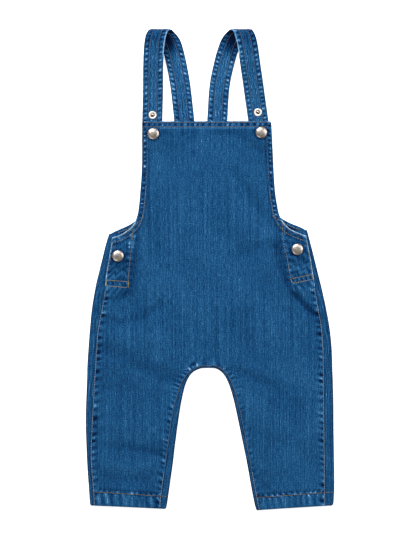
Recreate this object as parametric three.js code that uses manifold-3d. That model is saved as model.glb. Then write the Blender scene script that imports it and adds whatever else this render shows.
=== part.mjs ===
// Denim baby dungarees, lying flat on their back: bib, two legs, two straps, press studs.
// Millimetres. X to the garment's left as it lies (right of the sheet), Y towards the straps, Z up.
// Every cloth piece is drawn as its outer face, in rows, and gets its wall inwards.
import * as THREE from 'three';
import { mergeVertices } from 'three/addons/utils/BufferGeometryUtils.js';
import Module from 'manifold-3d';

const wasm = await Module();
wasm.setup();

// ---------- driving dimensions ----------
const CLOTH = 1.2;             // one layer of denim
const HEM_CLOTH = 2.2;         // denim turned over and stitched
const STRAP_CLOTH = 2;         // a strap, doubled
const SEAM_GAP = 0.3;          // between neighbouring pieces
const HEM_DEPTH = 15;          // turn-up at the leg ends
const LEG_LENGTH = 160;        // from the crotch to the leg ends
const EDGE_BAND = 6.5;         // turned edge of the bib
const BIB_TOP = 167.4;
const FOLD_TOP = 5.5;          // outer height of the garment at its side folds
const SAG = 1.5;               // fall of the cloth from the folds to the middle of a leg
const LOWEST = 2.4;            // depth under FOLD_TOP where the front meets the back
const CROTCH_FALL = 2.3;       // fall at the crotch, where the seams pull the front down
const CROTCH_SPREAD = 28;
const BIB_SIDE_FALL = 2.2;     // fall of the bib's side edges between snaps and slits
const BIB_SIDE_SPREAD = 22;
const FLAP_TOP = 3.7;          // outer height of the underlap in a side slit
const SLIT_TOP = 7.1;          // outer height of the front beside a side slit
const SLIT_FOOT = -20;         // y where the side slits end
const SLIT_LEVEL = 27;         // width of the level strip beside a side slit
const FLAP_REACH = 24;         // how far an underlap runs under the front
const MIDDLE_X = -2.7;         // the crotch and the middle of the panels
const STRAP_WIDTH = 22.8;

const CAP_RADIUS = 6.45;
const CAP_RISE = 2.4;
const CAP_EDGE = 0.7;          // upright rim of a cap
const CAP_CHAMFER = 0.2;
const SOCKET_RADIUS = 4.2;
const SOCKET_HEIGHT = 1.7;
const STUD_RADIUS = 4.45;
const PLATE = 0.6;             // sheet metal of a stud's ring and washer
const BALL_RADIUS = 1.7;
const BALL_HEIGHT = 1.4;
const RIVET_RADIUS = 1.3;
const HOLE_CLEARANCE = 0.3;
const DRILL_LENGTH = 20;

// Heights of the snap stacks: washer foot, and top of the cloth that the cap sits on
const BIB_STUD_FOOT = 0.3;
const SIDE_STUD_FOOT = 1.5;
const BIB_SNAP_TOP = 8.6;
const SIDE_SNAP_TOP = 9.6;

const SNAPS = {
  bibLeft: { x: -63.6, y: 153.7 },
  bibRight: { x: 58.2, y: 155.1 },
  sideLeft: { x: -103.4, y: 15.8 },
  sideRight: { x: 98.9, y: 23.3 },
  spareLeft: { x: -64.5, y: 175 },
  spareRight: { x: 54.4, y: 178.1 },
};

// ---------- outlines, one row for each station from top to foot ----------
// Front bib and armholes
const BIB_EDGE = [
  { leftX: -75.2, leftY: 167.6, rightX: 68.5, rightY: 167.9 },
  { leftX: -76.2, leftY: 164, rightX: 69.5, rightY: 164.3 },
  { leftX: -76.2, leftY: 156, rightX: 69.8, rightY: 156.5 },
  { leftX: -76.2, leftY: 147, rightX: 70.3, rightY: 148 },
  { leftX: -76.2, leftY: 138, rightX: 70.6, rightY: 138.5 },
  { leftX: -76.2, leftY: 122, rightX: 71.3, rightY: 122 },
  { leftX: -76.9, leftY: 104, rightX: 72.3, rightY: 104 },
  { leftX: -78.2, leftY: 88, rightX: 73.5, rightY: 88 },
  { leftX: -79.4, leftY: 74, rightX: 75.5, rightY: 75 },
  { leftX: -81.3, leftY: 62, rightX: 77.9, rightY: 63 },
  { leftX: -85.1, leftY: 52.2, rightX: 82.4, rightY: 54.2 },
  { leftX: -91.5, leftY: 45.3, rightX: 88.8, rightY: 47.6 },
  { leftX: -99.7, leftY: 40, rightX: 96.5, rightY: 43 },
  { leftX: -109.9, leftY: 36.3, rightX: 108.6, rightY: 38.6 },
];

// Back bib and armholes
const BACK_BIB_EDGE = [
  { leftX: -46, leftY: 135, rightX: 28, rightY: 135 },
  { leftX: -50, leftY: 118, rightX: 33, rightY: 119 },
  { leftX: -57, leftY: 96, rightX: 43, rightY: 99 },
  { leftX: -68, leftY: 74, rightX: 58, rightY: 78 },
  { leftX: -79, leftY: 59.5, rightX: 73, rightY: 63.5 },
  { leftX: -89.3, leftY: 51.4, rightX: 88, rightY: 54.2 },
  { leftX: -99.7, leftY: 46.6, rightX: 98, rightY: 49.9 },
  { leftX: -106.2, leftY: 43.7, rightX: 103.6, rightY: 47.6 },
];

// Top corners of the back at its side folds, which stand higher than the side slits
const BACK_CORNER = { left: { x: -113.6, y: 40.8 }, right: { x: 109.9, y: 45 } };
const CORNER_SHARE = 0.1;      // of a side, down to where the fold is back on its line
const CORNER_REACH = 7;        // in from the fold, to where the underlap's top edge is level

// Side folds of the cloth, and the side seams or slit edges on top
const SIDE = [
  { leftY: 36.3, leftFold: -116, leftSeam: -109.9, rightY: 38.6, rightFold: 111.6, rightSeam: 108.6 },
  { leftY: 16, leftFold: -120.6, leftSeam: -112.9, rightY: 18, rightFold: 117, rightSeam: 112.9 },
  { leftY: -4, leftFold: -125.5, leftSeam: -116.6, rightY: -3, rightFold: 122.2, rightSeam: 116.2 },
  { leftY: -20, leftFold: -129.2, leftSeam: -117.9, rightY: -20, rightFold: 126.4, rightSeam: 118.7 },
  { leftY: -45, leftFold: -133.3, leftSeam: -122.3, rightY: -45, rightFold: 131.8, rightSeam: 123.3 },
  { leftY: -67, leftFold: -135.4, leftSeam: -126.4, rightY: -67, rightFold: 135.6, rightSeam: 126.9 },
  { leftY: -89, leftFold: -137.1, leftSeam: -128.3, rightY: -89, rightFold: 137.8, rightSeam: 128.5 },
  { leftY: -110.5, leftFold: -138.4, leftSeam: -129.5, rightY: -110.5, rightFold: 138.5, rightSeam: 128.9 },
];

// Legs: outer fold and seam, inner fold (round the crotch arch) and how far the back wraps over it
const LEFT_LEG = [
  { y: -110.5, fold: -138.4, seam: -129.5, innerX: -2.7, innerY: -110.6, wrap: 1.8 },
  { y: -123, fold: -138.6, seam: -130.4, innerX: -11.4, innerY: -111.6, wrap: 1.9 },
  { y: -136, fold: -139.1, seam: -131.2, innerX: -20.7, innerY: -117.2, wrap: 2.6 },
  { y: -150, fold: -139.7, seam: -131.9, innerX: -27, innerY: -128.5, wrap: 4 },
  { y: -165, fold: -140, seam: -132.8, innerX: -30.8, innerY: -143, wrap: 5.4 },
  { y: -181, fold: -139.9, seam: -133.7, innerX: -34, innerY: -160.5, wrap: 6.8 },
  { y: -207, fold: -139, seam: -134.5, innerX: -38.4, innerY: -192, wrap: 7.3 },
  { y: -229, fold: -137.8, seam: -133.5, innerX: -41.7, innerY: -219, wrap: 7.7 },
  { y: -248, fold: -136.4, seam: -131.8, innerX: -45.5, innerY: -246, wrap: 7.7 },
  { y: -265.7, fold: -135.3, seam: -130.8, innerX: -48.9, innerY: -269.9, wrap: 7 },
];
const RIGHT_LEG = [
  { y: -110.5, fold: 138.5, seam: 128.9, innerX: -2.7, innerY: -110.6, wrap: 1.8 },
  { y: -123, fold: 139, seam: 128.9, innerX: 7.4, innerY: -111.4, wrap: 1.9 },
  { y: -136, fold: 139.4, seam: 128.9, innerX: 15.4, innerY: -117.3, wrap: 2.3 },
  { y: -150, fold: 139.7, seam: 129, innerX: 21.2, innerY: -128, wrap: 2.9 },
  { y: -165, fold: 139.8, seam: 129.3, innerX: 26, innerY: -143, wrap: 3.3 },
  { y: -181, fold: 139.9, seam: 129.6, innerX: 30.1, innerY: -160.5, wrap: 3.6 },
  { y: -207, fold: 140.3, seam: 129.9, innerX: 36.7, innerY: -192, wrap: 3.3 },
  { y: -229, fold: 140.6, seam: 130.2, innerX: 42.2, innerY: -219, wrap: 3.2 },
  { y: -248, fold: 140.6, seam: 130.4, innerX: 47, innerY: -246, wrap: 3.2 },
  { y: -265.8, fold: 139.7, seam: 130.6, innerX: 52, innerY: -271.4, wrap: 3.3 },
];

// Lines down the front that its columns follow; beside a slit, the inner edge of the facing
const GUIDE = [
  { y: 167, left: -55.5, right: 50 },
  { y: 138, left: -55.5, right: 51 },
  { y: 104, left: -60, right: 57 },
  { y: 74, left: -67, right: 63.5 },
  { y: 62, left: -73, right: 70 },
  { y: 54, left: -81, right: 78.5 },
  { y: 50, left: -85.3, right: 81.8 },
  { y: 46, left: -86.9, right: 82.6 },
  { y: 28, left: -88.1, right: 83.7 },
  { y: -4, left: -91.5, right: 90.2 },
  { y: -20, left: -92.1, right: 92.8 },
  { y: -60, left: -88, right: 86 },
  { y: -110.5, left: -78.8, right: 76.3 },
];
const FACING_TOP = 50;

// Straps: outer face of each, from its end on the back bib, along the table, over the shoulder
// fold and down to its end under the front bib. x is the middle of the strap.
const LEFT_STRAP = [
  { y: 108, z: 1.5, x: -24.5 },
  { y: 137, z: 1.5, x: -25.9 },
  { y: 151, z: 0, x: -27.1 },
  { y: 174, z: 0, x: -29.3 },
  { y: 208, z: 0, x: -33.2 },
  { y: 235, z: 0, x: -38.1 },
  { y: 252, z: 0.2, x: -42.6 },
  { y: 264, z: 2, x: -47 },
  { y: 270.6, z: 6.6, x: -51.2 },
  { y: 271.8, z: 11, x: -54 },
  { y: 269.5, z: 15.4, x: -57 },
  { y: 262, z: 18.2, x: -60.6 },
  { y: 250, z: 17.4, x: -62.8 },
  { y: 232, z: 13, x: -63.7 },
  { y: 212, z: 7.6, x: -64 },
  { y: 195, z: 4.1, x: -64.2 },
  { y: 184, z: 3.2, x: -64.5 },
  { y: 165, z: 3.2, x: -65 },
  { y: 140, z: 3.2, x: -65.2 },
];
const RIGHT_STRAP = [
  { y: 108, z: 1.5, x: 5.8 },
  { y: 137, z: 1.5, x: 7.2 },
  { y: 151, z: 0, x: 7.9 },
  { y: 174, z: 0, x: 8.8 },
  { y: 208, z: 0, x: 11.2 },
  { y: 235, z: 0, x: 16.7 },
  { y: 252, z: 0.2, x: 22 },
  { y: 264, z: 2, x: 26.4 },
  { y: 270.6, z: 6.6, x: 30.6 },
  { y: 271.8, z: 11, x: 33.4 },
  { y: 269.5, z: 15.4, x: 36.4 },
  { y: 262, z: 18.2, x: 40 },
  { y: 250, z: 17.4, x: 43.2 },
  { y: 232, z: 13, x: 45.7 },
  { y: 212, z: 7.6, x: 48.7 },
  { y: 195, z: 4.1, x: 51.1 },
  { y: 184, z: 3.2, x: 52.7 },
  { y: 165, z: 3.2, x: 55.4 },
  { y: 140, z: 3.2, x: 58.6 },
];

// Largest creases of the front: a trough (depth below 0) or a ridge along a bowed line
const CREASES = [
  { fromX: -84, fromY: 34, viaX: -84, viaY: 4, toX: -95, toY: -30, width: 6, depth: -1 },
  { fromX: -124, fromY: -46, viaX: -96, viaY: -68, toX: -56, toY: -38, width: 7, depth: -1.1 },
  { fromX: -120, fromY: -68, viaX: -92, viaY: -84, toX: -52, toY: -74, width: 9, depth: 0.7 },
  { fromX: -130, fromY: -84, viaX: -90, viaY: -100, toX: -42, toY: -124, width: 7, depth: -1.2 },
  { fromX: -128, fromY: -140, viaX: -92, viaY: -150, toX: -56, toY: -168, width: 12, depth: 0.9 },
  { fromX: -130, fromY: -197, viaX: -92, viaY: -198, toX: -55, toY: -210, width: 6, depth: -1.2 },
  { fromX: -122, fromY: -216, viaX: -92, viaY: -222, toX: -62, toY: -220, width: 8, depth: 0.7 },
  { fromX: -112, fromY: -236, viaX: -90, viaY: -232, toX: -64, toY: -236, width: 6, depth: -0.8 },
  { fromX: 77, fromY: 30, viaX: 84, viaY: -14, toX: 126, toY: -54, width: 6, depth: -1.3 },
  { fromX: 28, fromY: 16, viaX: 50, viaY: 30, toX: 76, toY: 27, width: 7, depth: -0.9 },
  { fromX: 22, fromY: 88, viaX: 60, viaY: 66, toX: 86, toY: 36, width: 7, depth: -0.8 },
  { fromX: 38, fromY: 157, viaX: 56, viaY: 148, toX: 62, toY: 130, width: 6, depth: -0.6 },
  { fromX: 24, fromY: -120, viaX: 64, viaY: -124, toX: 104, toY: -164, width: 8, depth: -1 },
  { fromX: 48, fromY: -150, viaX: 78, viaY: -166, toX: 110, toY: -192, width: 10, depth: 0.8 },
  { fromX: 46, fromY: -176, viaX: 76, viaY: -186, toX: 104, toY: -212, width: 7, depth: -0.8 },
  { fromX: -60, fromY: -20, viaX: -20, viaY: -46, toX: 40, toY: -40, width: 12, depth: 0.6 },
  { fromX: -30, fromY: -60, viaX: 0, viaY: -76, toX: 36, toY: -52, width: 9, depth: -0.6 },
];

// Rows and columns of the cloth grids
const BIB_ROWS = 2 * (BIB_EDGE.length - 1);
const SIDE_ROWS = 3 * (SIDE.length - 1);
const SLIT_ROWS = 9;           // of the side rows, down to the foot of the slit
const LEG_ROWS = 16;
const EDGE_COLUMNS = 4;        // of the front, from an edge to its guide line
const MIDDLE_COLUMNS = 5;      // and on to the middle
const BACK_COLUMNS = 3;        // in each half, where the back lies flat
const BACK_BIB_ROWS = 12;
const WRAP_TOP_COLUMNS = 2;
const WRAP_ROLL_COLUMNS = 4;
const STRAP_ROWS = 48;
const CAP_SIDES = 16;
const STUD_SIDES = 12;

// ---------- small helpers ----------
const { lerp, smoothstep } = THREE.MathUtils;
const point = (x, y, z, wall, normal = null) => ({ x, y, z, wall, normal });
const UP = new THREE.Vector3(0, 0, 1);
const DOWN = new THREE.Vector3(0, 0, -1);

// Smooth function of a position 0..1 down one column of a table
function column(table, key) {
  const stations = table.map((row, index) => new THREE.Vector3(index, row[key], 0));
  const curve = new THREE.CatmullRomCurve3(stations, false, 'catmullrom', 0.5);
  return (t) => curve.getPoint(t).y;
}

// Straight-line value of one column of a table at height y, for a table that runs downwards
function valueAt(table, yKey, key, y) {
  let index = 0;
  while (index < table.length - 2 && table[index + 1][yKey] > y) index += 1;
  const upper = table[index];
  const lower = table[index + 1];
  const share = THREE.MathUtils.clamp((upper[yKey] - y) / (upper[yKey] - lower[yKey]), 0, 1);
  return lerp(upper[key], lower[key], share);
}

function distanceToLine(line, x, y) {
  let closest = Infinity;
  for (let i = 0; i + 1 < line.length; i += 1) {
    const runX = line[i + 1].x - line[i].x;
    const runY = line[i + 1].y - line[i].y;
    const along = ((x - line[i].x) * runX + (y - line[i].y) * runY) / (runX * runX + runY * runY);
    const share = THREE.MathUtils.clamp(along, 0, 1);
    closest = Math.min(closest, Math.hypot(x - line[i].x - share * runX, y - line[i].y - share * runY));
  }
  return closest;
}

function sampled(count, pointAt) {
  return Array.from({ length: count + 1 }, (_, i) => pointAt(i / count));
}

// ---------- edge curves ----------
function edgePoints(table, name) {
  const x = column(table, `${name}X`);
  const y = column(table, `${name}Y`);
  return (t) => ({ x: x(t), y: y(t) });
}
const bibEdge = { left: edgePoints(BIB_EDGE, 'left'), right: edgePoints(BIB_EDGE, 'right') };
const backBibEdge = { left: edgePoints(BACK_BIB_EDGE, 'left'), right: edgePoints(BACK_BIB_EDGE, 'right') };

function sideCurves(name, out) {
  return {
    y: column(SIDE, `${name}Y`),
    fold: column(SIDE, `${name}Fold`),
    seam: column(SIDE, `${name}Seam`),
    out,
  };
}
const side = { left: sideCurves('left', -1), right: sideCurves('right', 1) };

function legCurves(table, out) {
  const keys = ['y', 'fold', 'seam', 'innerX', 'innerY', 'wrap'];
  return { ...Object.fromEntries(keys.map((key) => [key, column(table, key)])), out };
}
const leg = { left: legCurves(LEFT_LEG, -1), right: legCurves(RIGHT_LEG, 1) };

// Direction, in plan, that the inner fold of a leg faces: straight down at the crotch
function innerNormal(curves, t) {
  if (t === 0) return { x: 0, y: -1 };
  const step = 0.01;
  const before = Math.max(t - step, 0);
  const after = Math.min(t + step, 1);
  const runX = curves.innerX(after) - curves.innerX(before);
  const runY = curves.innerY(after) - curves.innerY(before);
  const length = Math.hypot(runX, runY);
  return { x: (curves.out * runY) / length, y: (-curves.out * runX) / length };
}

function innerPoint(curves, t, inset) {
  const normal = innerNormal(curves, t);
  return { x: curves.innerX(t) - normal.x * inset, y: curves.innerY(t) - normal.y * inset };
}

const FOLD_SAMPLES = 24;
const foldLines = ['left', 'right'].flatMap((name) => [
  sampled(FOLD_SAMPLES, (t) => ({ x: side[name].fold(t), y: side[name].y(t) })),
  sampled(FOLD_SAMPLES, (t) => ({ x: leg[name].fold(t), y: leg[name].y(t) })),
  sampled(FOLD_SAMPLES, (t) => innerPoint(leg[name], t, 0)),
]);
const slitEdges = ['left', 'right'].map((name) => (
  sampled(FOLD_SAMPLES, (t) => ({ x: side[name].seam(t * 0.5), y: side[name].y(t * 0.5) }))
));
const bibSides = ['left', 'right'].map((name) => sampled(FOLD_SAMPLES, bibEdge[name]));

const CREASE_SAMPLES = 8;
const creaseLines = CREASES.map((crease) => {
  const from = new THREE.Vector2(crease.fromX, crease.fromY);
  const via = new THREE.Vector2(crease.viaX, crease.viaY);
  const to = new THREE.Vector2(crease.toX, crease.toY);
  const line = new THREE.QuadraticBezierCurve(from, via, to).getPoints(CREASE_SAMPLES);
  return { line, width: crease.width, depth: crease.depth };
});

// ---------- height of the garment's upper face over the table ----------
const nearest = (lines, x, y) => Math.min(...lines.map((line) => distanceToLine(line, x, y)));
const reach = (snap, x, y) => Math.hypot(x - snap.x, y - snap.y);

// 1 beside the side slits, where front and facing ride over the underlap, to 0 away from them
function slitShare(x, y) {
  const beside = 1 - smoothstep(nearest(slitEdges, x, y), SLIT_LEVEL, SLIT_LEVEL + 11);
  return beside * smoothstep(y, SLIT_FOOT - 14, SLIT_FOOT) * (1 - smoothstep(y, FACING_TOP, FACING_TOP + 25));
}

function frontHeight(x, y) {
  const inward = nearest(foldLines, x, y);
  const ends = (1 - smoothstep(y, 20, 70)) * smoothstep(y, -252, -236);
  const sag = SAG * smoothstep(inward, 8, 40) * ends;
  const fromCrotch = Math.hypot(x - MIDDLE_X, y - LEFT_LEG[0].innerY);
  const crotch = CROTCH_FALL * Math.exp(-((fromCrotch / CROTCH_SPREAD) ** 2));
  const bibMiddle = smoothstep(y, 56, 80) * (1 - smoothstep(y, 116, 138));
  const bibSide = BIB_SIDE_FALL * bibMiddle * (1 - smoothstep(nearest(bibSides, x, y), 0, BIB_SIDE_SPREAD));
  let creased = 0;
  for (const crease of creaseLines) {
    creased += crease.depth * Math.exp(-((distanceToLine(crease.line, x, y) / crease.width) ** 2));
  }
  creased *= smoothstep(inward, 3, 14);
  let height = FOLD_TOP - sag - crotch - bibSide + Math.max(creased, sag - LOWEST);
  height = lerp(height, SLIT_TOP, slitShare(x, y));
  for (const snap of [SNAPS.bibLeft, SNAPS.bibRight]) {
    height = lerp(BIB_SNAP_TOP, height, smoothstep(reach(snap, x, y), 8.5, 24));
  }
  for (const snap of [SNAPS.sideLeft, SNAPS.sideRight]) {
    height = lerp(SIDE_SNAP_TOP, height, smoothstep(reach(snap, x, y), 9, 19));
  }
  return height;
}

// The back's wraps lie level with the front, and low, as underlaps, in the side slits
function wrapHeight(x, y) {
  return lerp(frontHeight(x, y), FLAP_TOP, smoothstep(y, SLIT_FOOT - 12, SLIT_FOOT + 2));
}

// Wall of the front: turned edges round the bib, double at its snaps, and at the leg ends
function frontWall(x, y, fromHem) {
  const onBib = smoothstep(y, 54, 60);
  const band = 1 - smoothstep(nearest(bibSides, x, y), EDGE_BAND, EDGE_BAND + 0.5);
  const topBand = smoothstep(y, BIB_TOP - EDGE_BAND - 0.5, BIB_TOP - EDGE_BAND);
  const snap = Math.min(reach(SNAPS.bibLeft, x, y), reach(SNAPS.bibRight, x, y));
  const aroundSnap = 1 - smoothstep(snap, 8, 9);
  const turned = Math.max(onBib * band, topBand, aroundSnap, fromHem);
  return lerp(CLOTH, HEM_CLOTH, turned);
}

// 1 in the turn-up of a leg, by position down the leg
const hemShare = (t) => 1 - smoothstep(LEG_LENGTH * (1 - t), HEM_DEPTH - 3, HEM_DEPTH);

// ---------- cloth from rows of outer points ----------
class Cloth {
  constructor() {
    this.points = [];
    this.triangles = [];
    this.known = new Map();
  }

  index(p) {
    const key = [p.x, p.y, p.z].map((value) => Math.round(value * 500)).join(' ');
    if (!this.known.has(key)) {
      this.known.set(key, this.points.length);
      this.points.push(p);
    }
    return this.known.get(key);
  }

  triangle(a, b, c) {
    if (a !== b && b !== c && c !== a) this.triangles.push([a, b, c]);
  }

  // Rows run down the garment and columns to the right; the outer face is up unless turned
  grid(rows, turned = false) {
    const indices = rows.map((row) => row.map((p) => this.index(p)));
    for (let i = 0; i + 1 < indices.length; i += 1) {
      for (let j = 0; j + 1 < indices[i].length; j += 1) {
        const [a, b] = [indices[i][j], indices[i][j + 1]];
        const [d, c] = [indices[i + 1][j], indices[i + 1][j + 1]];
        if (turned) {
          this.triangle(a, b, c);
          this.triangle(a, c, d);
        } else {
          this.triangle(a, d, c);
          this.triangle(a, c, b);
        }
      }
    }
  }

  normals() {
    const normals = this.points.map(() => new THREE.Vector3());
    const at = (i) => new THREE.Vector3(this.points[i].x, this.points[i].y, this.points[i].z);
    for (const corners of this.triangles) {
      const [a, b, c] = corners.map(at);
      const face = b.sub(a).cross(c.sub(a));
      for (const corner of corners) normals[corner].add(face);
    }
    return normals.map((normal, i) => this.points[i].normal ?? normal.normalize());
  }

  solid() {
    const outer = this.points.map((p) => new THREE.Vector3(p.x, p.y, p.z));
    const normals = this.normals();
    const inner = outer.map((p, i) => p.clone().addScaledVector(normals[i], -this.points[i].wall));
    const count = outer.length;
    const edges = new Map();
    const faces = [];
    for (const [a, b, c] of this.triangles) {
      faces.push(a, b, c);
      faces.push(a + count, c + count, b + count);
      for (const [start, end] of [[a, b], [b, c], [c, a]]) edges.set(`${start} ${end}`, [start, end]);
    }
    for (const [start, end] of edges.values()) {
      if (edges.has(`${end} ${start}`)) continue;
      faces.push(end, start, start + count);
      faces.push(end, start + count, end + count);
    }
    const geometry = new THREE.BufferGeometry();
    geometry.setFromPoints([...outer, ...inner]);
    geometry.setIndex(faces);
    return geometry;
  }
}

// ---------- front panel ----------
function frontPoint(x, y, fromHem = 0) {
  return point(x, y, frontHeight(x, y), frontWall(x, y, fromHem));
}

// Columns from an edge, by the guide line, to the middle of the garment
function halfRow(edge, guideX, middle) {
  const guideShare = (guideX - edge.x) / (middle.x - edge.x);
  const shares = [
    ...sampled(EDGE_COLUMNS, (u) => guideShare * u),
    ...sampled(MIDDLE_COLUMNS, (u) => lerp(guideShare, 1, u)).slice(1),
  ];
  return shares.map((u) => frontPoint(lerp(edge.x, middle.x, u), lerp(edge.y, middle.y, u)));
}

function bodyRow(left, right, middleY) {
  const middle = { x: MIDDLE_X, y: middleY };
  const leftHalf = halfRow(left, valueAt(GUIDE, 'y', 'left', left.y), middle);
  const rightHalf = halfRow(right, valueAt(GUIDE, 'y', 'right', right.y), middle);
  return [...leftHalf, ...rightHalf.reverse().slice(1)];
}

function frontBodyRows() {
  const bibRows = sampled(BIB_ROWS, (t) => {
    const [left, right] = [bibEdge.left(t), bibEdge.right(t)];
    return bodyRow(left, right, (left.y + right.y) / 2);
  });
  const crotchY = innerPoint(leg.left, 0, leg.left.wrap(0) + SEAM_GAP / 2).y;
  const sideRows = sampled(SIDE_ROWS, (t) => {
    const left = { x: side.left.seam(t) + SEAM_GAP / 2, y: side.left.y(t) };
    const right = { x: side.right.seam(t) - SEAM_GAP / 2, y: side.right.y(t) };
    return bodyRow(left, right, lerp((left.y + right.y) / 2, crotchY, smoothstep(t, 0.5, 1)));
  });
  return [...bibRows, ...sideRows.slice(1)];
}

function frontCloth(bodyRows) {
  const cloth = new Cloth();
  cloth.grid(bodyRows);
  const crotchRow = bodyRows.at(-1);
  const half = EDGE_COLUMNS + MIDDLE_COLUMNS;
  for (const name of ['left', 'right']) {
    const curves = leg[name];
    const legRows = sampled(LEG_ROWS, (t) => {
      const outer = { x: curves.seam(t) - curves.out * SEAM_GAP / 2, y: curves.y(t) };
      const inner = innerPoint(curves, t, curves.wrap(t) + SEAM_GAP / 2);
      const row = sampled(half, (u) => (
        frontPoint(lerp(outer.x, inner.x, u), lerp(outer.y, inner.y, u), hemShare(t))
      ));
      return name === 'left' ? row : row.reverse();
    });
    legRows[0] = name === 'left' ? crotchRow.slice(0, half + 1) : crotchRow.slice(half);
    cloth.grid(legRows);
  }
  return cloth;
}

// ---------- back panel ----------
// Section of a wrap: from its edge on top, round the fold, to where the cloth lies on the table
function wrapSection(fold, normal, depth, wall) {
  const nominal = FOLD_TOP / 2;
  const radius = wrapHeight(fold.x - normal.x * nominal, fold.y - normal.y * nominal) / 2;
  const section = [];
  for (let i = 0; i < WRAP_TOP_COLUMNS; i += 1) {
    const even = lerp(depth - SEAM_GAP / 2, radius, i / WRAP_TOP_COLUMNS);
    const inset = i === 0 ? even : Math.min(even, CORNER_REACH);
    const x = fold.x - normal.x * inset;
    const y = fold.y - normal.y * inset;
    section.push(point(x, y, wrapHeight(x, y), wall, UP));
  }
  for (let i = 0; i <= WRAP_ROLL_COLUMNS; i += 1) {
    const angle = Math.PI * (0.5 - i / WRAP_ROLL_COLUMNS);
    const inset = radius - radius * Math.cos(angle);
    section.push(point(
      fold.x - normal.x * inset,
      fold.y - normal.y * inset,
      Math.max(radius + radius * Math.sin(angle), 0),
      wall,
      new THREE.Vector3(normal.x * Math.cos(angle), normal.y * Math.cos(angle), Math.sin(angle)),
    ));
  }
  return section;
}

function flatBetween(start, end, count, wall) {
  const between = (u) => point(lerp(start.x, end.x, u), lerp(start.y, end.y, u), 0, wall, DOWN);
  return sampled(count, between).slice(1, -1);
}

function sideSection(name, t) {
  const curves = side[name];
  const corner = BACK_CORNER[name];
  const raised = 1 - smoothstep(t, 0, CORNER_SHARE);
  const level = curves.y(t);
  const fold = { x: lerp(curves.fold(t), corner.x, raised), y: lerp(level, corner.y, raised) };
  const seamDepth = Math.abs(fold.x - curves.seam(t));
  const flap = FLAP_REACH * smoothstep(level, SLIT_FOOT, SLIT_FOOT + 6);
  const section = wrapSection(fold, { x: curves.out, y: 0 }, seamDepth + flap, CLOTH);
  for (const p of section.slice(0, WRAP_TOP_COLUMNS)) p.y = level;
  return section;
}

function backPanel() {
  const cloth = new Cloth();
  const last = WRAP_TOP_COLUMNS + WRAP_ROLL_COLUMNS;
  const flatRow = (left, right, middleY) => [
    left,
    ...flatBetween(left, { x: MIDDLE_X, y: middleY }, BACK_COLUMNS, CLOTH),
    point(MIDDLE_X, middleY, 0, CLOTH, DOWN),
    ...flatBetween({ x: MIDDLE_X, y: middleY }, right, BACK_COLUMNS, CLOTH),
    right,
  ];
  const crotch = wrapSection(innerPoint(leg.left, 0, 0), innerNormal(leg.left, 0), leg.left.wrap(0), CLOTH);
  const crotchY = crotch[last].y;
  const sideRows = sampled(SIDE_ROWS, (t) => {
    const left = sideSection('left', t);
    const right = sideSection('right', t);
    const middleY = lerp((left[last].y + right[last].y) / 2, crotchY, smoothstep(t, 0.5, 1));
    const flat = flatRow(left[last], right[last], middleY);
    return [...left.slice(0, last), ...flat, ...right.slice(0, last).reverse()];
  });
  cloth.grid(sideRows, true);

  const bibRows = sampled(BACK_BIB_ROWS, (t) => {
    const [left, right] = [backBibEdge.left(t), backBibEdge.right(t)].map(({ x, y }) => (
      point(x, y, 0, CLOTH, DOWN)
    ));
    return flatRow(left, right, (left.y + right.y) / 2);
  });
  bibRows.push(sideRows[0].slice(last, -last));
  cloth.grid(bibRows, true);

  for (const name of ['left', 'right']) {
    const curves = leg[name];
    const legRows = sampled(LEG_ROWS, (t) => {
      const wall = lerp(CLOTH, HEM_CLOTH, hemShare(t));
      const outerFold = { x: curves.fold(t), y: curves.y(t) };
      const outerDepth = Math.abs(curves.fold(t) - curves.seam(t));
      const outer = wrapSection(outerFold, { x: curves.out, y: 0 }, outerDepth, wall);
      const inner = wrapSection(innerPoint(curves, t, 0), innerNormal(curves, t), curves.wrap(t), wall);
      const flat = flatBetween(outer[last], inner[last], BACK_COLUMNS, wall);
      const row = [...outer, ...flat, ...inner.reverse()];
      return name === 'left' ? row : row.reverse();
    });
    cloth.grid(legRows, true);
  }
  return cloth.solid();
}

// ---------- slit facings, behind the front panel ----------
// The front's own points beside a slit, moved in by its wall and a seam gap
function facing(name, bodyRows, front) {
  const normals = front.normals();
  const first = bodyRows.findIndex((row) => row[0].y < FACING_TOP);
  const rows = bodyRows.slice(first, BIB_ROWS + SLIT_ROWS + 1).map((row) => {
    const stretch = name === 'left' ? row.slice(0, EDGE_COLUMNS + 1) : row.slice(-EDGE_COLUMNS - 1);
    return stretch.map((p) => {
      const normal = normals[front.index(p)];
      const inset = p.wall + SEAM_GAP;
      return point(p.x - normal.x * inset, p.y - normal.y * inset, p.z - normal.z * inset, CLOTH);
    });
  });
  const cloth = new Cloth();
  cloth.grid(rows);
  return cloth.solid();
}

// ---------- straps ----------
function strap(table) {
  const cloth = new Cloth();
  const path = { x: column(table, 'x'), y: column(table, 'y'), z: column(table, 'z') };
  const step = 0.5 / STRAP_ROWS;
  const rows = sampled(STRAP_ROWS, (t) => {
    const before = Math.max(t - step, 0);
    const after = Math.min(t + step, 1);
    const length = Math.hypot(path.y(after) - path.y(before), path.z(after) - path.z(before));
    const slant = (path.x(after) - path.x(before)) / length;
    const half = (STRAP_WIDTH / 2) * Math.hypot(1, slant);
    const z = Math.max(path.z(t), 0);
    return [
      point(path.x(t) - half, path.y(t), z, STRAP_CLOTH),
      point(path.x(t) + half, path.y(t), z, STRAP_CLOTH),
    ];
  });
  cloth.grid(rows);
  return cloth.solid();
}

// ---------- press studs ----------
function turnedPiece(profile, sides, snap, foot) {
  const geometry = new THREE.LatheGeometry(profile.map(([r, z]) => new THREE.Vector2(r, z)), sides);
  geometry.rotateX(Math.PI / 2);
  geometry.translate(snap.x, snap.y, foot);
  return geometry;
}

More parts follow.
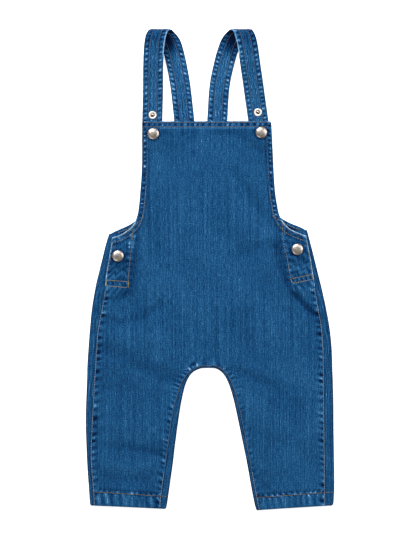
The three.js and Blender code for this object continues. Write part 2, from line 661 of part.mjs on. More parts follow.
// Domed cap on the cloth, its rivet through the cloth, and the socket under it
function cap(snap, top, layers) {
  const grip = layers + 2 * SEAM_GAP;
  const recess = BALL_HEIGHT - SEAM_GAP + CAP_CHAMFER;
  const rim = SOCKET_HEIGHT + grip;
  const domeRadius = CAP_RADIUS - CAP_CHAMFER;
  const domeRise = CAP_RISE - CAP_EDGE;
  const dome = [1, 0.9, 0.72, 0.48, 0.24].map((share) => (
    [domeRadius * share, rim + CAP_EDGE + domeRise * Math.sqrt(1 - share * share)]
  ));
  return turnedPiece([
    [0, recess],
    [BALL_RADIUS + HOLE_CLEARANCE, recess],
    [BALL_RADIUS + HOLE_CLEARANCE, 0],
    [SOCKET_RADIUS, 0],
    [SOCKET_RADIUS, SOCKET_HEIGHT],
    [RIVET_RADIUS, SOCKET_HEIGHT],
    [RIVET_RADIUS, rim],
    [domeRadius, rim],
    [CAP_RADIUS, rim + CAP_EDGE / 2],
    ...dome,
    [0, rim + CAP_RISE],
  ], CAP_SIDES, snap, top + SEAM_GAP - rim);
}

// Ring and ball on the cloth, the rivet through it and the washer under it, a grip apart
function stud(snap, foot, grip) {
  const ring = PLATE + grip;
  return turnedPiece([
    [0, 0],
    [STUD_RADIUS, 0],
    [STUD_RADIUS, PLATE],
    [RIVET_RADIUS, PLATE],
    [RIVET_RADIUS, ring],
    [STUD_RADIUS, ring],
    [STUD_RADIUS, ring + PLATE],
    [BALL_RADIUS - 0.2, ring + PLATE],
    [BALL_RADIUS, ring + PLATE + BALL_HEIGHT * 0.6],
    [BALL_RADIUS * 0.7, ring + PLATE + BALL_HEIGHT * 0.9],
    [0, ring + PLATE + BALL_HEIGHT],
  ], STUD_SIDES, snap, foot);
}

// ---------- holes for the rivets ----------
function asManifold(geometry) {
  const bare = new THREE.BufferGeometry();
  bare.setAttribute('position', geometry.getAttribute('position'));
  bare.setIndex(geometry.getIndex());
  const merged = mergeVertices(bare);
  const corners = merged.getIndex().array;
  const triangles = [];
  for (let i = 0; i < corners.length; i += 3) {
    const [a, b, c] = corners.slice(i, i + 3);
    if (a !== b && b !== c && c !== a) triangles.push(a, b, c);
  }
  return new wasm.Manifold(new wasm.Mesh({
    numProp: 3,
    vertProperties: merged.getAttribute('position').array,
    triVerts: new Uint32Array(triangles),
  }));
}

// Rivet holes, drilled upwards from a height, so that the back's sheet on the table stays whole
function drilled(geometry, snaps, from = -1) {
  let solid = asManifold(geometry);
  for (const snap of snaps) {
    const radius = RIVET_RADIUS + HOLE_CLEARANCE;
    const drill = new THREE.CylinderGeometry(radius, radius, DRILL_LENGTH, STUD_SIDES);
    drill.rotateX(Math.PI / 2);
    drill.translate(snap.x, snap.y, from + DRILL_LENGTH / 2);
    solid = solid.subtract(asManifold(drill));
  }
  const mesh = solid.getMesh();
  const cut = new THREE.BufferGeometry();
  cut.setAttribute('position', new THREE.BufferAttribute(mesh.vertProperties, 3));
  cut.setIndex(new THREE.BufferAttribute(mesh.triVerts, 1));
  return cut;
}

// ---------- the garment ----------
const denim = () => new THREE.MeshStandardMaterial({ color: 0x24537f, roughness: 0.9, metalness: 0 });
const capMetal = () => new THREE.MeshStandardMaterial({ color: 0xb5aea6, roughness: 0.35, metalness: 1 });
const studMetal = () => new THREE.MeshStandardMaterial({ color: 0xd2d2d0, roughness: 0.25, metalness: 1 });

const group = new THREE.Group();
function add(name, geometry, material) {
  geometry.computeVertexNormals();
  const mesh = new THREE.Mesh(geometry, material);
  mesh.name = name;
  group.add(mesh);
}

const bodyRows = frontBodyRows();
const front = frontCloth(bodyRows);
const frontSnaps = [SNAPS.bibLeft, SNAPS.bibRight, SNAPS.sideLeft, SNAPS.sideRight];
const flapUnderside = FLAP_TOP - CLOTH - SEAM_GAP;
add('front_panel', drilled(front.solid(), frontSnaps), denim());
add('back_panel', drilled(backPanel(), [SNAPS.sideLeft, SNAPS.sideRight], flapUnderside), denim());
add('side_facing_left', drilled(facing('left', bodyRows, front), [SNAPS.sideLeft]), denim());
add('side_facing_right', drilled(facing('right', bodyRows, front), [SNAPS.sideRight]), denim());
add('strap_left', drilled(strap(LEFT_STRAP), [SNAPS.bibLeft, SNAPS.spareLeft]), denim());
add('strap_right', drilled(strap(RIGHT_STRAP), [SNAPS.bibRight, SNAPS.spareRight]), denim());

const sideLayers = 2 * CLOTH + SEAM_GAP;
const strapGrip = STRAP_CLOTH + 2 * SEAM_GAP;
const flapGrip = FLAP_TOP + SEAM_GAP - SIDE_STUD_FOOT - PLATE;
add('bib_cap_left', cap(SNAPS.bibLeft, BIB_SNAP_TOP, HEM_CLOTH), capMetal());
add('bib_cap_right', cap(SNAPS.bibRight, BIB_SNAP_TOP, HEM_CLOTH), capMetal());
add('side_cap_left', cap(SNAPS.sideLeft, SIDE_SNAP_TOP, sideLayers), capMetal());
add('side_cap_right', cap(SNAPS.sideRight, SIDE_SNAP_TOP, sideLayers), capMetal());
add('bib_stud_left', stud(SNAPS.bibLeft, BIB_STUD_FOOT, strapGrip), studMetal());
add('bib_stud_right', stud(SNAPS.bibRight, BIB_STUD_FOOT, strapGrip), studMetal());
add('spare_stud_left', stud(SNAPS.spareLeft, BIB_STUD_FOOT, strapGrip), studMetal());
add('spare_stud_right', stud(SNAPS.spareRight, BIB_STUD_FOOT, strapGrip), studMetal());
add('side_stud_left', stud(SNAPS.sideLeft, SIDE_STUD_FOOT, flapGrip), studMetal());
add('side_stud_right', stud(SNAPS.sideRight, SIDE_STUD_FOOT, flapGrip), studMetal());

// The origin is under the middle of the garment, on the table
const bounds = new THREE.Box3().setFromObject(group);
group.position.set(-(bounds.min.x + bounds.max.x) / 2, -(bounds.min.y + bounds.max.y) / 2, -bounds.min.z);

export default group;
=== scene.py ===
import math

import bpy
import numpy as np
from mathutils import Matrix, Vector
from mathutils.bvhtree import BVHTree


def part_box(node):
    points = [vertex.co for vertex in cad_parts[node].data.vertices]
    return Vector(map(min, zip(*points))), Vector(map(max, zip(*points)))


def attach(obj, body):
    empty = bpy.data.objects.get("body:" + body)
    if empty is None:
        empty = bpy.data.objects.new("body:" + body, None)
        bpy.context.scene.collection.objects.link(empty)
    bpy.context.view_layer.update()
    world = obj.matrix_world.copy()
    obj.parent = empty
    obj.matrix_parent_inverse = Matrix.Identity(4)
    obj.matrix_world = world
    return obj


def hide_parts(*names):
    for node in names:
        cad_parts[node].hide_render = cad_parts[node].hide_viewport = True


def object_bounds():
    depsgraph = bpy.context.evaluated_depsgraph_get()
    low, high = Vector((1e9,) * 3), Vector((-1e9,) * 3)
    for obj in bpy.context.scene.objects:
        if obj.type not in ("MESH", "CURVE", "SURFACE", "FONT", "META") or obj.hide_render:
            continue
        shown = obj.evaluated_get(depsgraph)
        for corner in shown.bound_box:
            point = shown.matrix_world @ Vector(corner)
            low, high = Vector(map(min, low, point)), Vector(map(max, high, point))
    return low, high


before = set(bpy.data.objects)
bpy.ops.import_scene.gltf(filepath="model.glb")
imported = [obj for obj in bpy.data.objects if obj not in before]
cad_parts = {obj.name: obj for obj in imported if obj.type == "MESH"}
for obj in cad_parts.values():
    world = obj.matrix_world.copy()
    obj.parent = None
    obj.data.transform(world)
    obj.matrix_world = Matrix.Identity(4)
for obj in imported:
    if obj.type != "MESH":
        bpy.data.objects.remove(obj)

cad_low, cad_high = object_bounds()

# ---------------------------------------------------------------- table, camera and light
# The dungarees lie on a pale light table under broad soft light that comes mostly from the bib's
# end. The camera hangs high above them on a long lens and looks straight down.
CAMERA_HEIGHT = 5.0
SENSOR_HEIGHT = 24.0
ROOM_ROUND_IT = 1.1232  # height of the view over the length of the garment
VIEW_HEIGHT = ROOM_ROUND_IT * (cad_high.y - cad_low.y)
TABLE_SIZE = 7
TABLE_TOP = -0.00025  # thread stands proud below the garment

camera_data = bpy.data.cameras.new("camera")
camera_data.sensor_fit = "VERTICAL"
camera_data.sensor_height = SENSOR_HEIGHT
camera_data.lens = SENSOR_HEIGHT * CAMERA_HEIGHT / VIEW_HEIGHT
camera = bpy.data.objects.new("camera", camera_data)
camera.location = (0, -0.0002, CAMERA_HEIGHT)
bpy.context.collection.objects.link(camera)
bpy.context.scene.camera = camera
bpy.context.scene.view_settings.view_transform = "Standard"


def soft_light(name, place, size, watts, colour):
    """A square panel of light that faces the middle of the garment."""
    data = bpy.data.lights.new(name, "AREA")
    data.shape = "SQUARE"
    data.size = size
    data.energy = watts
    data.color = colour
    light = bpy.data.objects.new(name, data)
    light.location = place
    light.rotation_euler = (-Vector(place)).to_track_quat("-Z", "Y").to_euler()
    bpy.context.collection.objects.link(light)


soft_light("key_light", (-0.7, 1.4, 1.6), 1.4, 52, (1, 0.99, 0.98))
soft_light("fill_light", (1.4, 0.6, 1.5), 1.2, 27, (0.98, 0.99, 1))
soft_light("front_light", (-1.0, -1.4, 1.5), 0.9, 9, (1, 0.97, 0.93))

world = bpy.data.worlds.new("studio")
bpy.context.scene.world = world
world.use_nodes = True
sky = world.node_tree.nodes["Background"].inputs
sky["Color"].default_value = (1, 0.95, 0.89, 1)
sky["Strength"].default_value = 0.2


def new_material(name, **settings):
    """A material and its surface shader, with settings on the shader's own sockets."""
    material = bpy.data.materials.new(name)
    material.use_nodes = True
    surface = material.node_tree.nodes["Principled BSDF"]
    for socket, value in settings.items():
        surface.inputs[socket.replace("_", " ")].default_value = value
    return material, surface


def select_nothing():
    for other in bpy.context.selected_objects:
        other.select_set(False)


select_nothing()
bpy.ops.mesh.primitive_plane_add(size=TABLE_SIZE, location=(0, 0, TABLE_TOP))
light_table = bpy.context.active_object
light_table.name = "light_table"
acrylic, _ = new_material(
    "white_acrylic",
    Base_Color=(0.93, 0.93, 0.93, 1),
    Roughness=0.9,
    Emission_Color=(1, 1, 1, 1),
    Emission_Strength=0.7,
)
light_table.data.materials.append(acrylic)

# ---------------------------------------------------------------- back panel
# The back is cut in one with its bib. It lies on the table with its outer face down, and wraps
# forward round the sides and the inner legs, where the front is sewn to it. All cloth is worked
# out in millimetres on the table and goes to metres, and to the frame's place, in its mesh.
CLOTH = 1.0  # thickness of one layer
TURNED = 1.8  # and of cloth turned over on itself, at an edge or a hem
SEAM_GAP = 0.3  # between the front's edge and the back's at a seam
FOLD_TOP = 5.5  # height of the garment along its folds
SLIT_TOP = 7.1  # height of the front beside a side slit
FLAP_TOP = 3.7  # and of the back's underlap in it
SLIT_LEVEL = 27  # how far in from the slit the front keeps that height
FLAP_REACH = 24  # how far past the seam's line the underlap goes on
SLIT_FOOT = -20
FACING_TOP = 50
MIDDLE_X = -2.7
BAND = 6.5  # width of a turned edge
HEM_DEPTH = 15
LEG_LENGTH = 160
HEM_CORNER = 2.4  # radius of the hems' corners
SAG = 1.5  # fall of the cloth from the side folds to the middle of a leg
LOWEST = 2.4  # and how far it may fall before the front meets the back
CROTCH_Y = -110.6
CROTCH_FALL = 2.3  # the front lies lower round the crotch, within this spread
CROTCH_SPREAD = 28
BIB_SIDE_FALL = 2.2  # and along the sides of the bib
BIB_SIDE_SPREAD = 22
SNAP_TOPS = {  # height of the cloth under a cap, how far it stays level, and where the rise ends
    "bib_left": (8.6, 8.5, 24),
    "bib_right": (8.6, 8.5, 24),
    "side_left": (9.6, 9, 19),
    "side_right": (9.6, 9, 19),
}
SNAPS = {
    "bib_left": (-63.6, 153.7),
    "bib_right": (58.2, 155.1),
    "side_left": (-103.4, 15.8),
    "side_right": (98.9, 23.3),
    "spare_left": (-64.5, 175),
    "spare_right": (54.4, 178.1),
}

# Edge of the front bib and armholes: left x, y, right x, y
BIB_EDGE = [
    (-76.2, 167.6, 69.5, 167.9),
    (-76.2, 164, 69.5, 164.3),
    (-76.2, 156, 69.8, 156.5),
    (-76.2, 147, 70.3, 148),
    (-76.2, 138, 70.6, 138.5),
    (-76.2, 122, 71.3, 122),
    (-76.9, 104, 72.3, 104),
    (-78.2, 88, 73.5, 88),
    (-79.4, 74, 75.5, 75),
    (-81.3, 62, 77.9, 63),
    (-85.1, 52.2, 82.4, 54.2),
    (-91.5, 45.3, 88.8, 47.6),
    (-99.7, 40, 96.5, 43),
    (-109.9, 36.3, 108.6, 38.6),
]
# Edge of the back bib and armholes: left x, y, right x, y
BACK_BIB_EDGE = [
    (-46, 135, 28, 135),
    (-50, 118, 33, 119),
    (-57, 96, 43, 99),
    (-68, 74, 58, 78),
    (-79, 59.5, 73, 63.5),
    (-89.3, 51.4, 88, 54.2),
    (-99.7, 46.6, 98, 49.9),
    (-106.2, 43.7, 103.6, 47.6),
]
# Sides: left y, fold, seam, right y, fold, seam
SIDE = [
    (36.3, -116, -109.9, 38.6, 111.6, 108.6),
    (16, -120.6, -112.9, 18, 117, 112.9),
    (-4, -125.5, -116.6, -3, 122.2, 116.2),
    (-20, -129.2, -117.9, -20, 126.4, 118.7),
    (-45, -133.3, -122.3, -45, 131.8, 123.3),
    (-67, -135.4, -126.4, -67, 135.6, 126.9),
    (-89, -137.1, -128.3, -89, 137.8, 128.5),
    (-110.5, -138.4, -129.5, -110.5, 138.5, 128.9),
]
# Top corners of the back at its side folds, which stand higher than the side slits
BACK_CORNER = {"left": (-113.6, 40.8), "right": (109.9, 45)}
# Legs: outer y, fold, seam, inner fold x, y, and how far the back wraps over the inner fold
LEG = {
    "left": [
        (-110.5, -138.4, -129.5, -2.7, -110.6, 1.8),
        (-123, -138.6, -130.4, -11.4, -111.6, 1.9),
        (-136, -139.1, -131.2, -20.7, -117.2, 2.6),
        (-150, -139.7, -131.9, -27, -128.5, 4),
        (-165, -140, -132.8, -30.8, -143, 5.4),
        (-181, -139.9, -133.7, -34, -160.5, 6.8),
        (-207, -139, -134.5, -38.4, -192, 7.3),
        (-229, -137.8, -133.5, -41.7, -219, 7.7),
        (-248, -136.4, -131.8, -45.5, -246, 7.7),
        (-265.7, -135.3, -130.8, -48.9, -269.9, 7),
    ],
    "right": [
        (-110.5, 138.5, 128.9, -2.7, -110.6, 1.8),
        (-123, 139, 128.9, 7.4, -111.4, 1.9),
        (-136, 139.4, 128.9, 15.4, -117.3, 2.3),
        (-150, 139.7, 129, 21.2, -128, 2.9),
        (-165, 139.8, 129.3, 26, -143, 3.3),
        (-181, 139.9, 129.6, 30.1, -160.5, 3.6),
        (-207, 140.3, 129.9, 36.7, -192, 3.3),
        (-229, 140.6, 130.2, 42.2, -219, 3.2),
        (-248, 140.6, 130.4, 47, -246, 3.2),
        (-265.8, 139.7, 130.6, 52, -271.4, 3.3),
    ],
}
# Large creases: from x, y, bowed by way of x, y, to x, y, width, depth (a ridge above 0)
CREASES = [
    (-84, 34, -84, 6, -92, -22, 6, -0.95),
    (-88, -20, -96, -36, -122, -34, 3.5, -0.7),
    (-126, -52, -92, -70, -56, -38, 5, -1.1),
    (-120, -68, -92, -84, -52, -74, 9, 0.7),
    (-122, -88, -90, -98, -32, -127, 6.5, -1.1),
    (-84, -108, -64, -116, -40, -123, 8, -0.9),
    (-120, -130, -92, -138, -62, -142, 12, -0.7),
    (-122, -170, -92, -180, -60, -182, 9, 0.6),
    (-118, -198, -90, -199, -52, -208, 4.5, -0.9),
    (-78, -202, -66, -204, -52, -208, 4, -0.5),
    (-122, -218, -92, -222, -62, -222, 7, 0.8),
    (-116, -234, -96, -238, -76, -237, 5, -0.7),
    (75, 28, 79, -21, 127, -57, 3.6, -1.3),
    (95, -26, 108, -44, 128, -56, 3, -1),
    (28, 16, 50, 30, 76, 27, 6, -0.9),
    (28, 112, 50, 76, 84, 36, 5.5, -1.05),
    (32, 154, 56, 148, 64, 124, 6, -0.7),
    (40, -46, 24, -74, 8, -104, 9, -0.6),
    (20, -110, 50, -118, 80, -135, 5, -0.95),
    (84, -142, 98, -150, 110, -162, 6, -0.35),
    (48, -150, 78, -166, 110, -192, 9, 0.7),
    (42, -178, 58, -188, 82, -196, 7, -0.8),
    (50, -224, 52, -234, 62, -242, 5, -0.7),
    (-60, -20, -20, -46, 40, -40, 12, 0.6),
    (-30, -60, -4, -72, 4, -96, 9, -0.5),
]
# Creases of the back's outer face, which lift it off the table: as above, with width and lift
BACK_CREASES = [
    (-118, -84, -84, -104, -38, -122, 7, 0.75),
    (-116, -196, -88, -200, -58, -205, 5.5, 0.65),
    (-112, -228, -92, -236, -66, -234, 6, 0.5),
    (26, -106, 56, -126, 100, -146, 7, 0.7),
    (52, -176, 78, -192, 112, -198, 6.5, 0.65),
    (-98, 4, -52, -12, -12, 2, 8, 0.55),
    (26, -8, 60, 8, 98, -6, 7, 0.55),
    (-60, -38, -8, -64, 48, -44, 10, 0.7),
    (-30, -76, -2, -84, 16, -70, 8, 0.4),
    (104, -34, 88, -62, 60, -88, 7, 0.6),
]
OUT = {"left": -1, "right": 1}  # the way out from the garment's middle

cap_low, cap_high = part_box("bib_cap_left")
PLACE = (cap_low + cap_high) / 2 * 1000 - Vector((*SNAPS["bib_left"], 0))
PLACE = np.array((PLACE.x, PLACE.y, 0))


def smooth(value, low, high):
    share = np.clip((value - low) / (high - low), 0, 1)
    return share * share * (3 - 2 * share)


def blend(start, end, share):
    return start + (end - start) * share


def hump(distance, centre, width):
    return np.exp(-(((distance - centre) / width) ** 2))


def curve(stations):
    """A smooth curve through evenly numbered stations, as a function of 0 to 1."""
    s = np.asarray(stations, float)
    s = np.vstack([2 * s[0] - s[1], s, 2 * s[-1] - s[-2]])

    def at(t):
        place = np.clip(t, 0, 1) * (len(s) - 3)
        index = np.minimum(place.astype(int), len(s) - 4)
        u = (place - index)[..., None]
        a, b, c, d = (s[index + k] for k in range(4))
        bend = a - 2.5 * b + 2 * c - d / 2
        turn = 1.5 * (b - c) + (d - a) / 2
        return b + u * (c - a) / 2 + u**2 * bend + u**3 * turn

    return at


def way_along(points):
    """How far along a line each of its points lies."""
    return np.concatenate([[0], np.cumsum(np.linalg.norm(np.diff(points, axis=0), axis=1))])


def even_steps(at, spacing):
    """Shares of a curve that put its rows a spacing apart."""
    t = np.linspace(0, 1, 2001)
    travelled = way_along(at(t))
    count = round(travelled[-1] / spacing)
    return np.interp(np.linspace(0, travelled[-1], count + 1), travelled, t)


bib_edge = curve(BIB_EDGE)
back_bib_edge = curve(BACK_BIB_EDGE)
side = {"left": curve([row[:3] for row in SIDE]), "right": curve([row[3:] for row in SIDE])}
leg = {name: curve(LEG[name]) for name in OUT}


def inner_fold(name, t):
    """Place of a leg's inner fold and the way it faces, which is straight down at the crotch."""
    step = 0.01
    run = leg[name](np.minimum(t + step, 1))[:, 3:5] - leg[name](np.maximum(t - step, 0))[:, 3:5]
    run /= np.linalg.norm(run, axis=1)[:, None]
    faces = OUT[name] * np.stack([run[:, 1], -run[:, 0]], axis=1)
    faces[t == 0] = (0, -1)
    return leg[name](t)[:, 3:5], faces


def nearest_on(line, x, y):
    """How far points are from a line, and how far along it their nearest place lies."""
    best = np.full(np.shape(x), np.inf)
    along = np.zeros(np.shape(x))
    travelled = 0
    for start, end in zip(line[:-1], line[1:]):
        run = end - start
        length = math.hypot(*run)
        share = np.clip(((x - start[0]) * run[0] + (y - start[1]) * run[1]) / length**2, 0, 1)
        away = np.hypot(x - start[0] - share * run[0], y - start[1] - share * run[1])
        closer = away < best
        best = np.where(closer, away, best)
        along = np.where(closer, travelled + share * length, along)
        travelled += length
    return best, along


def nearest_of(lines, x, y):
    return np.minimum.reduce([nearest_on(line, x, y)[0] for line in lines])


samples = np.linspace(0, 1, 25)
fold_lines = [side[n](samples)[:, [1, 0]] for n in OUT] + [leg[n](samples)[:, [1, 0]] for n in OUT]
fold_lines += [leg[n](samples)[:, 3:5] for n in OUT]
slit_lines = {n: side[n](samples / 2)[:, [2, 0]] for n in OUT}
fine = np.linspace(0, 1, 61)
bib_sides = {"left": bib_edge(fine)[:, :2], "right": bib_edge(fine)[:, 2:]}


def bowed(start, via, end):
    u = np.linspace(0, 1, 9)[:, None]
    return (1 - u) ** 2 * np.array(start) + 2 * u * (1 - u) * np.array(via) + u**2 * np.array(end)


crease_lines, back_crease_lines = (
    [(bowed(c[0:2], c[2:4], c[4:6]), c[6], c[7]) for c in creases] for creases in (CREASES, BACK_CREASES)
)


def slit_share(x, y):
    """1 beside a side slit, where the front rides over the underlap, to 0 away from it."""
    beside = 1 - smooth(nearest_of(slit_lines.values(), x, y), SLIT_LEVEL, SLIT_LEVEL + 11)
    return beside * smooth(y, SLIT_FOOT - 14, SLIT_FOOT) * (1 - smooth(y, FACING_TOP, FACING_TOP + 25))


def front_height(x, y):
    """Height of the garment's upper face over the table, with its largest creases."""
    inward = nearest_of(fold_lines, x, y)
    on_legs = (1 - smooth(y, 20, 70)) * smooth(y, -252, -236)
    sag = SAG * smooth(inward, 8, 40) * on_legs
    crotch = CROTCH_FALL * hump(np.hypot(x - MIDDLE_X, y - CROTCH_Y), 0, CROTCH_SPREAD)
    bib_middle = smooth(y, 56, 80) * (1 - smooth(y, 116, 138))
    bib_edge_away = nearest_of(bib_sides.values(), x, y)
    bib_side = BIB_SIDE_FALL * bib_middle * (1 - smooth(bib_edge_away, 0, BIB_SIDE_SPREAD))
    creased = sum(d * hump(nearest_on(line, x, y)[0], 0, w) for line, w, d in crease_lines)
    creased = creased * smooth(inward, 3, 14)
    height = FOLD_TOP - sag - crotch - bib_side + np.maximum(creased, sag - LOWEST)
    height = blend(height, SLIT_TOP, slit_share(x, y))
    for snap, (top, near, far) in SNAP_TOPS.items():
        reach = np.hypot(x - SNAPS[snap][0], y - SNAPS[snap][1])
        height = blend(top, height, smooth(reach, near, far))
    return height


def wrap_height(x, y):
    return blend(front_height(x, y), FLAP_TOP, smooth(y, SLIT_FOOT - 12, SLIT_FOOT + 2))


def uneven_wave(place, spacing, seed):
    """A wave of ridges and troughs of uneven length and height, about a spacing apart."""
    draw = np.random.default_rng(seed)
    count = int(1300 / spacing)
    steps = spacing * draw.uniform(0.3, 0.7, count)
    heights = draw.uniform(0.35, 1, count) * np.where(np.arange(count) % 2, 1, -1)
    knots = np.cumsum(steps) - 170
    index = np.clip(np.searchsorted(knots, place) - 1, 0, count - 2)
    share = smooth(place, knots[index], knots[index + 1])
    return blend(heights[index], heights[index + 1], share)


WRAP_TOP_COLUMNS = 14
WRAP_ROLL_COLUMNS = 9
UNDERLAP = 1.4  # how far a wrap goes on under the front at a sewn seam
TUCK = 1.15  # and how far below the front it lies there


def wrap_section(fold, faces, depth, sewn):
    """Rows of a wrap, from its edge on top, round the fold, to where it lies on the table.

    Gives the outer points, the cloth's own flat places and how far in from the fold each lies."""
    radius = wrap_height(*(fold - faces * FOLD_TOP / 2).T) / 2
    edge = blend(depth - SEAM_GAP / 2, depth + UNDERLAP, sewn)
    u = np.linspace(0, 1, WRAP_TOP_COLUMNS + 1)[None, :-1] ** 0.8
    top_inset = blend(edge[:, None], radius[:, None], u)
    top_xy = fold[:, None] - faces[:, None] * top_inset[..., None]
    top_z = wrap_height(top_xy[..., 0], top_xy[..., 1])
    rise = np.minimum(3, 0.7 * depth)[:, None]
    top_z -= TUCK * sewn[:, None] * (1 - smooth(depth[:, None] - top_inset, 0, rise))
    angle = np.pi * (0.5 - np.linspace(0, 1, WRAP_ROLL_COLUMNS + 1))[None]
    roll_inset = radius[:, None] * (1 - np.cos(angle))
    roll_xy = fold[:, None] - faces[:, None] * roll_inset[..., None]
    roll_z = np.maximum(radius[:, None] * (1 + np.sin(angle)), 0)
    at = np.concatenate([np.dstack([top_xy, top_z]), np.dstack([roll_xy, roll_z])], axis=1)
    wide = radius[:, None]
    travelled = np.concatenate([np.pi * wide + top_inset - wide, wide * (angle + np.pi / 2)], axis=1)
    base = fold - faces * wide
    flat = base[:, None] + faces[:, None] * travelled[..., None]
    inset = np.concatenate([top_inset, roll_inset], axis=1)
    return at, flat, inset


MOST_LIFT = 0.9  # of the back's creases off the table


def table_side(x, y):
    """How far the back lifts off the table in its creases, and its outer face's tone, with painted shade
    along the creases.
    """
    creased = [(w, d * hump(nearest_on(line, x, y)[0], 0, w)) for line, w, d in back_crease_lines]
    from_crotch = np.hypot(x - MIDDLE_X, y - CROTCH_Y)
    clear = smooth(nearest_of(fold_lines, x, y), 8, 20) * (1 - smooth(y, 5, 30))
    clear = clear * smooth(from_crotch, 20, 42)
    lift = np.minimum(sum(rise for _, rise in creased), MOST_LIFT) * clear
    wear_and_shade = 0.06 * uneven_wave(0.7 * x + 0.5 * y, 58, 41)
    # painted shade along the creases, where the cloth lifts off the table
    return lift, wear_and_shade - sum(1.2 * rise / w for w, rise in creased) * clear


# Columns from a fold to the middle, closer beside the fold
LYING_SHARES = [0.012, 0.03, 0.05, 0.075, 0.105, 0.145, 0.19]
LYING_SHARES = np.concatenate([LYING_SHARES, np.arange(0.24, 0.96, 0.07)])


def lying_between(start, end, shares):
    return blend(start[:, None], end[:, None], shares[None, :, None])


def patch(at, flat, wall, wear_and_shade, inside=None, turned=False):
    """Part of a cloth: rows of outer points, their flat places, wall, and wear with painted light and
    shade, outside and inside.
    """
    rows, columns = at.shape[:2]
    return {
        "at": at,
        "flat": flat,
        "wall": np.broadcast_to(wall, (rows, columns)),
        "wear_and_shade": np.broadcast_to(wear_and_shade, (rows, columns)),
        "inside": np.broadcast_to(wear_and_shade if inside is None else inside, (rows, columns)),
        "turned": turned,
    }


def sewn_piece(name, points, faces, material):
    """A smooth piece of the garment, from points in millimetres in the frame."""
    mesh = bpy.data.meshes.new(name)
    mesh.from_pydata((points / 1000).tolist(), [], faces)
    mesh.shade_smooth()
    mesh.materials.append(material)
    piece = bpy.data.objects.new(name, mesh)
    bpy.context.collection.objects.link(piece)
    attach(piece, "root")
    return piece


def cloth_piece(name, points, faces, flat, wear_and_shade, material):
    """A piece of cloth from points on the table, with their places in its weave and their wear and painted
    shade.
    """
    piece = sewn_piece(name, points + PLACE, faces, material)
    mesh = piece.data
    loops = np.zeros(len(mesh.loops), np.int32)
    mesh.loops.foreach_get("vertex_index", loops)
    uv = mesh.uv_layers.new(name="cloth_flat")
    uv.data.foreach_set("uv", (flat[loops] / 1000).ravel())
    mesh.attributes.new("wear_and_shade", "FLOAT", "POINT").data.foreach_set("value", wear_and_shade)
    return piece


JOINS_AT = 200  # points join where they agree to one part in this many of a millimetre
RIM_STEPS = 3
RIM_BULGE = 0.4  # how round a cut or folded edge stands out


def cloth(name, patches, material):
    """One closed thin shell, from patches that join where their points meet, with round edges."""
    at = np.concatenate([p["at"].reshape(-1, 3) for p in patches])
    keys = np.round(at * JOINS_AT).astype(np.int64)
    _, first, index = np.unique(keys, axis=0, return_index=True, return_inverse=True)
    index = index.ravel()
    at = at[first]
    flat = np.concatenate([p["flat"].reshape(-1, 2) for p in patches])[first]
    wall, wear_and_shade, inside = (
        np.concatenate([p[part].ravel() for p in patches])[first] for part in ("wall", "wear_and_shade", "inside")
    )

    # outer face, and which way it looks at each point
    quads = []
    offset = 0
    for p in patches:
        rows, columns = p["at"].shape[:2]
        grid = index[offset : offset + rows * columns].reshape(rows, columns)
        offset += rows * columns
        a, b, c, d = grid[:-1, :-1], grid[:-1, 1:], grid[1:, 1:], grid[1:, :-1]
        order = (a, b, c, d) if p["turned"] else (a, d, c, b)
        quads.append(np.stack(order, axis=-1).reshape(-1, 4))
    quads = np.concatenate(quads)
    slope = np.cross(at[quads[:, 2]] - at[quads[:, 0]], at[quads[:, 3]] - at[quads[:, 1]])
    normals = np.zeros_like(at)
    for corner in range(4):
        np.add.at(normals, quads[:, corner], slope)
    normals /= np.linalg.norm(normals, axis=1)[:, None]

    # edges that only one face has, and rings of points that round them off
    count = len(at)
    edges = np.concatenate([quads[:, [k, (k + 1) % 4]] for k in range(4)])
    edges = edges[edges[:, 0] != edges[:, 1]]
    forward = edges[:, 0] * count + edges[:, 1]
    rim = edges[~np.isin(forward, edges[:, 1] * count + edges[:, 0])]
    run = np.zeros_like(at)
    for corner in range(2):
        np.add.at(run, rim[:, corner], at[rim[:, 1]] - at[rim[:, 0]])
    on_rim = np.unique(rim)
    outward = np.cross(run[on_rim], normals[on_rim])
    outward /= np.linalg.norm(outward, axis=1)[:, None]
    half = wall[on_rim, None] / 2
    middle = at[on_rim] - normals[on_rim] * half
    rings = []
    for step in range(1, RIM_STEPS + 1):
        angle = np.pi * step / (RIM_STEPS + 1)
        rings.append(
            middle
            + outward * half * RIM_BULGE * math.sin(angle)
            + normals[on_rim] * half * math.cos(angle)
        )

    # inner face, and strips from ring to ring between the two faces
    inner = at - normals * wall[:, None]
    points = np.concatenate([at, inner, *rings])
    rim_index = np.full(count, -1)
    rim_index[on_rim] = np.arange(len(on_rim))
    chain = [rim]
    chain += [rim_index[rim] + 2 * count + len(on_rim) * step for step in range(RIM_STEPS)]
    chain.append(rim + count)
    faces = [quads, quads[:, ::-1] + count]
    for near, far in zip(chain[:-1], chain[1:]):
        faces.append(np.stack([near[:, 1], near[:, 0], far[:, 0], far[:, 1]], axis=1))
    faces = np.concatenate(faces)
    flat = np.concatenate([flat, flat] + [flat[on_rim]] * RIM_STEPS)
    rim_wear_and_shade = [blend(wear_and_shade, inside, (k + 1) / (RIM_STEPS + 1))[on_rim] for k in range(RIM_STEPS)]
    wear_and_shade = np.concatenate([wear_and_shade, inside] + rim_wear_and_shade)

    corners = [list(dict.fromkeys(face)) for face in faces.tolist()]
    corners = [face for face in corners if len(face) > 2]
    return cloth_piece(name, points, corners, flat, wear_and_shade, material)


def add_node(tree, kind, links=(), **settings):
    """A shader node with its settings, and its inputs linked or set."""
    node = tree.nodes.new(kind)
    for key, value in settings.items():
        setattr(node, key, value)
    for socket, source in links:
        if hasattr(source, "is_output"):
            tree.links.new(source, node.inputs[socket])
        else:
            node.inputs[socket].default_value = source
    return node


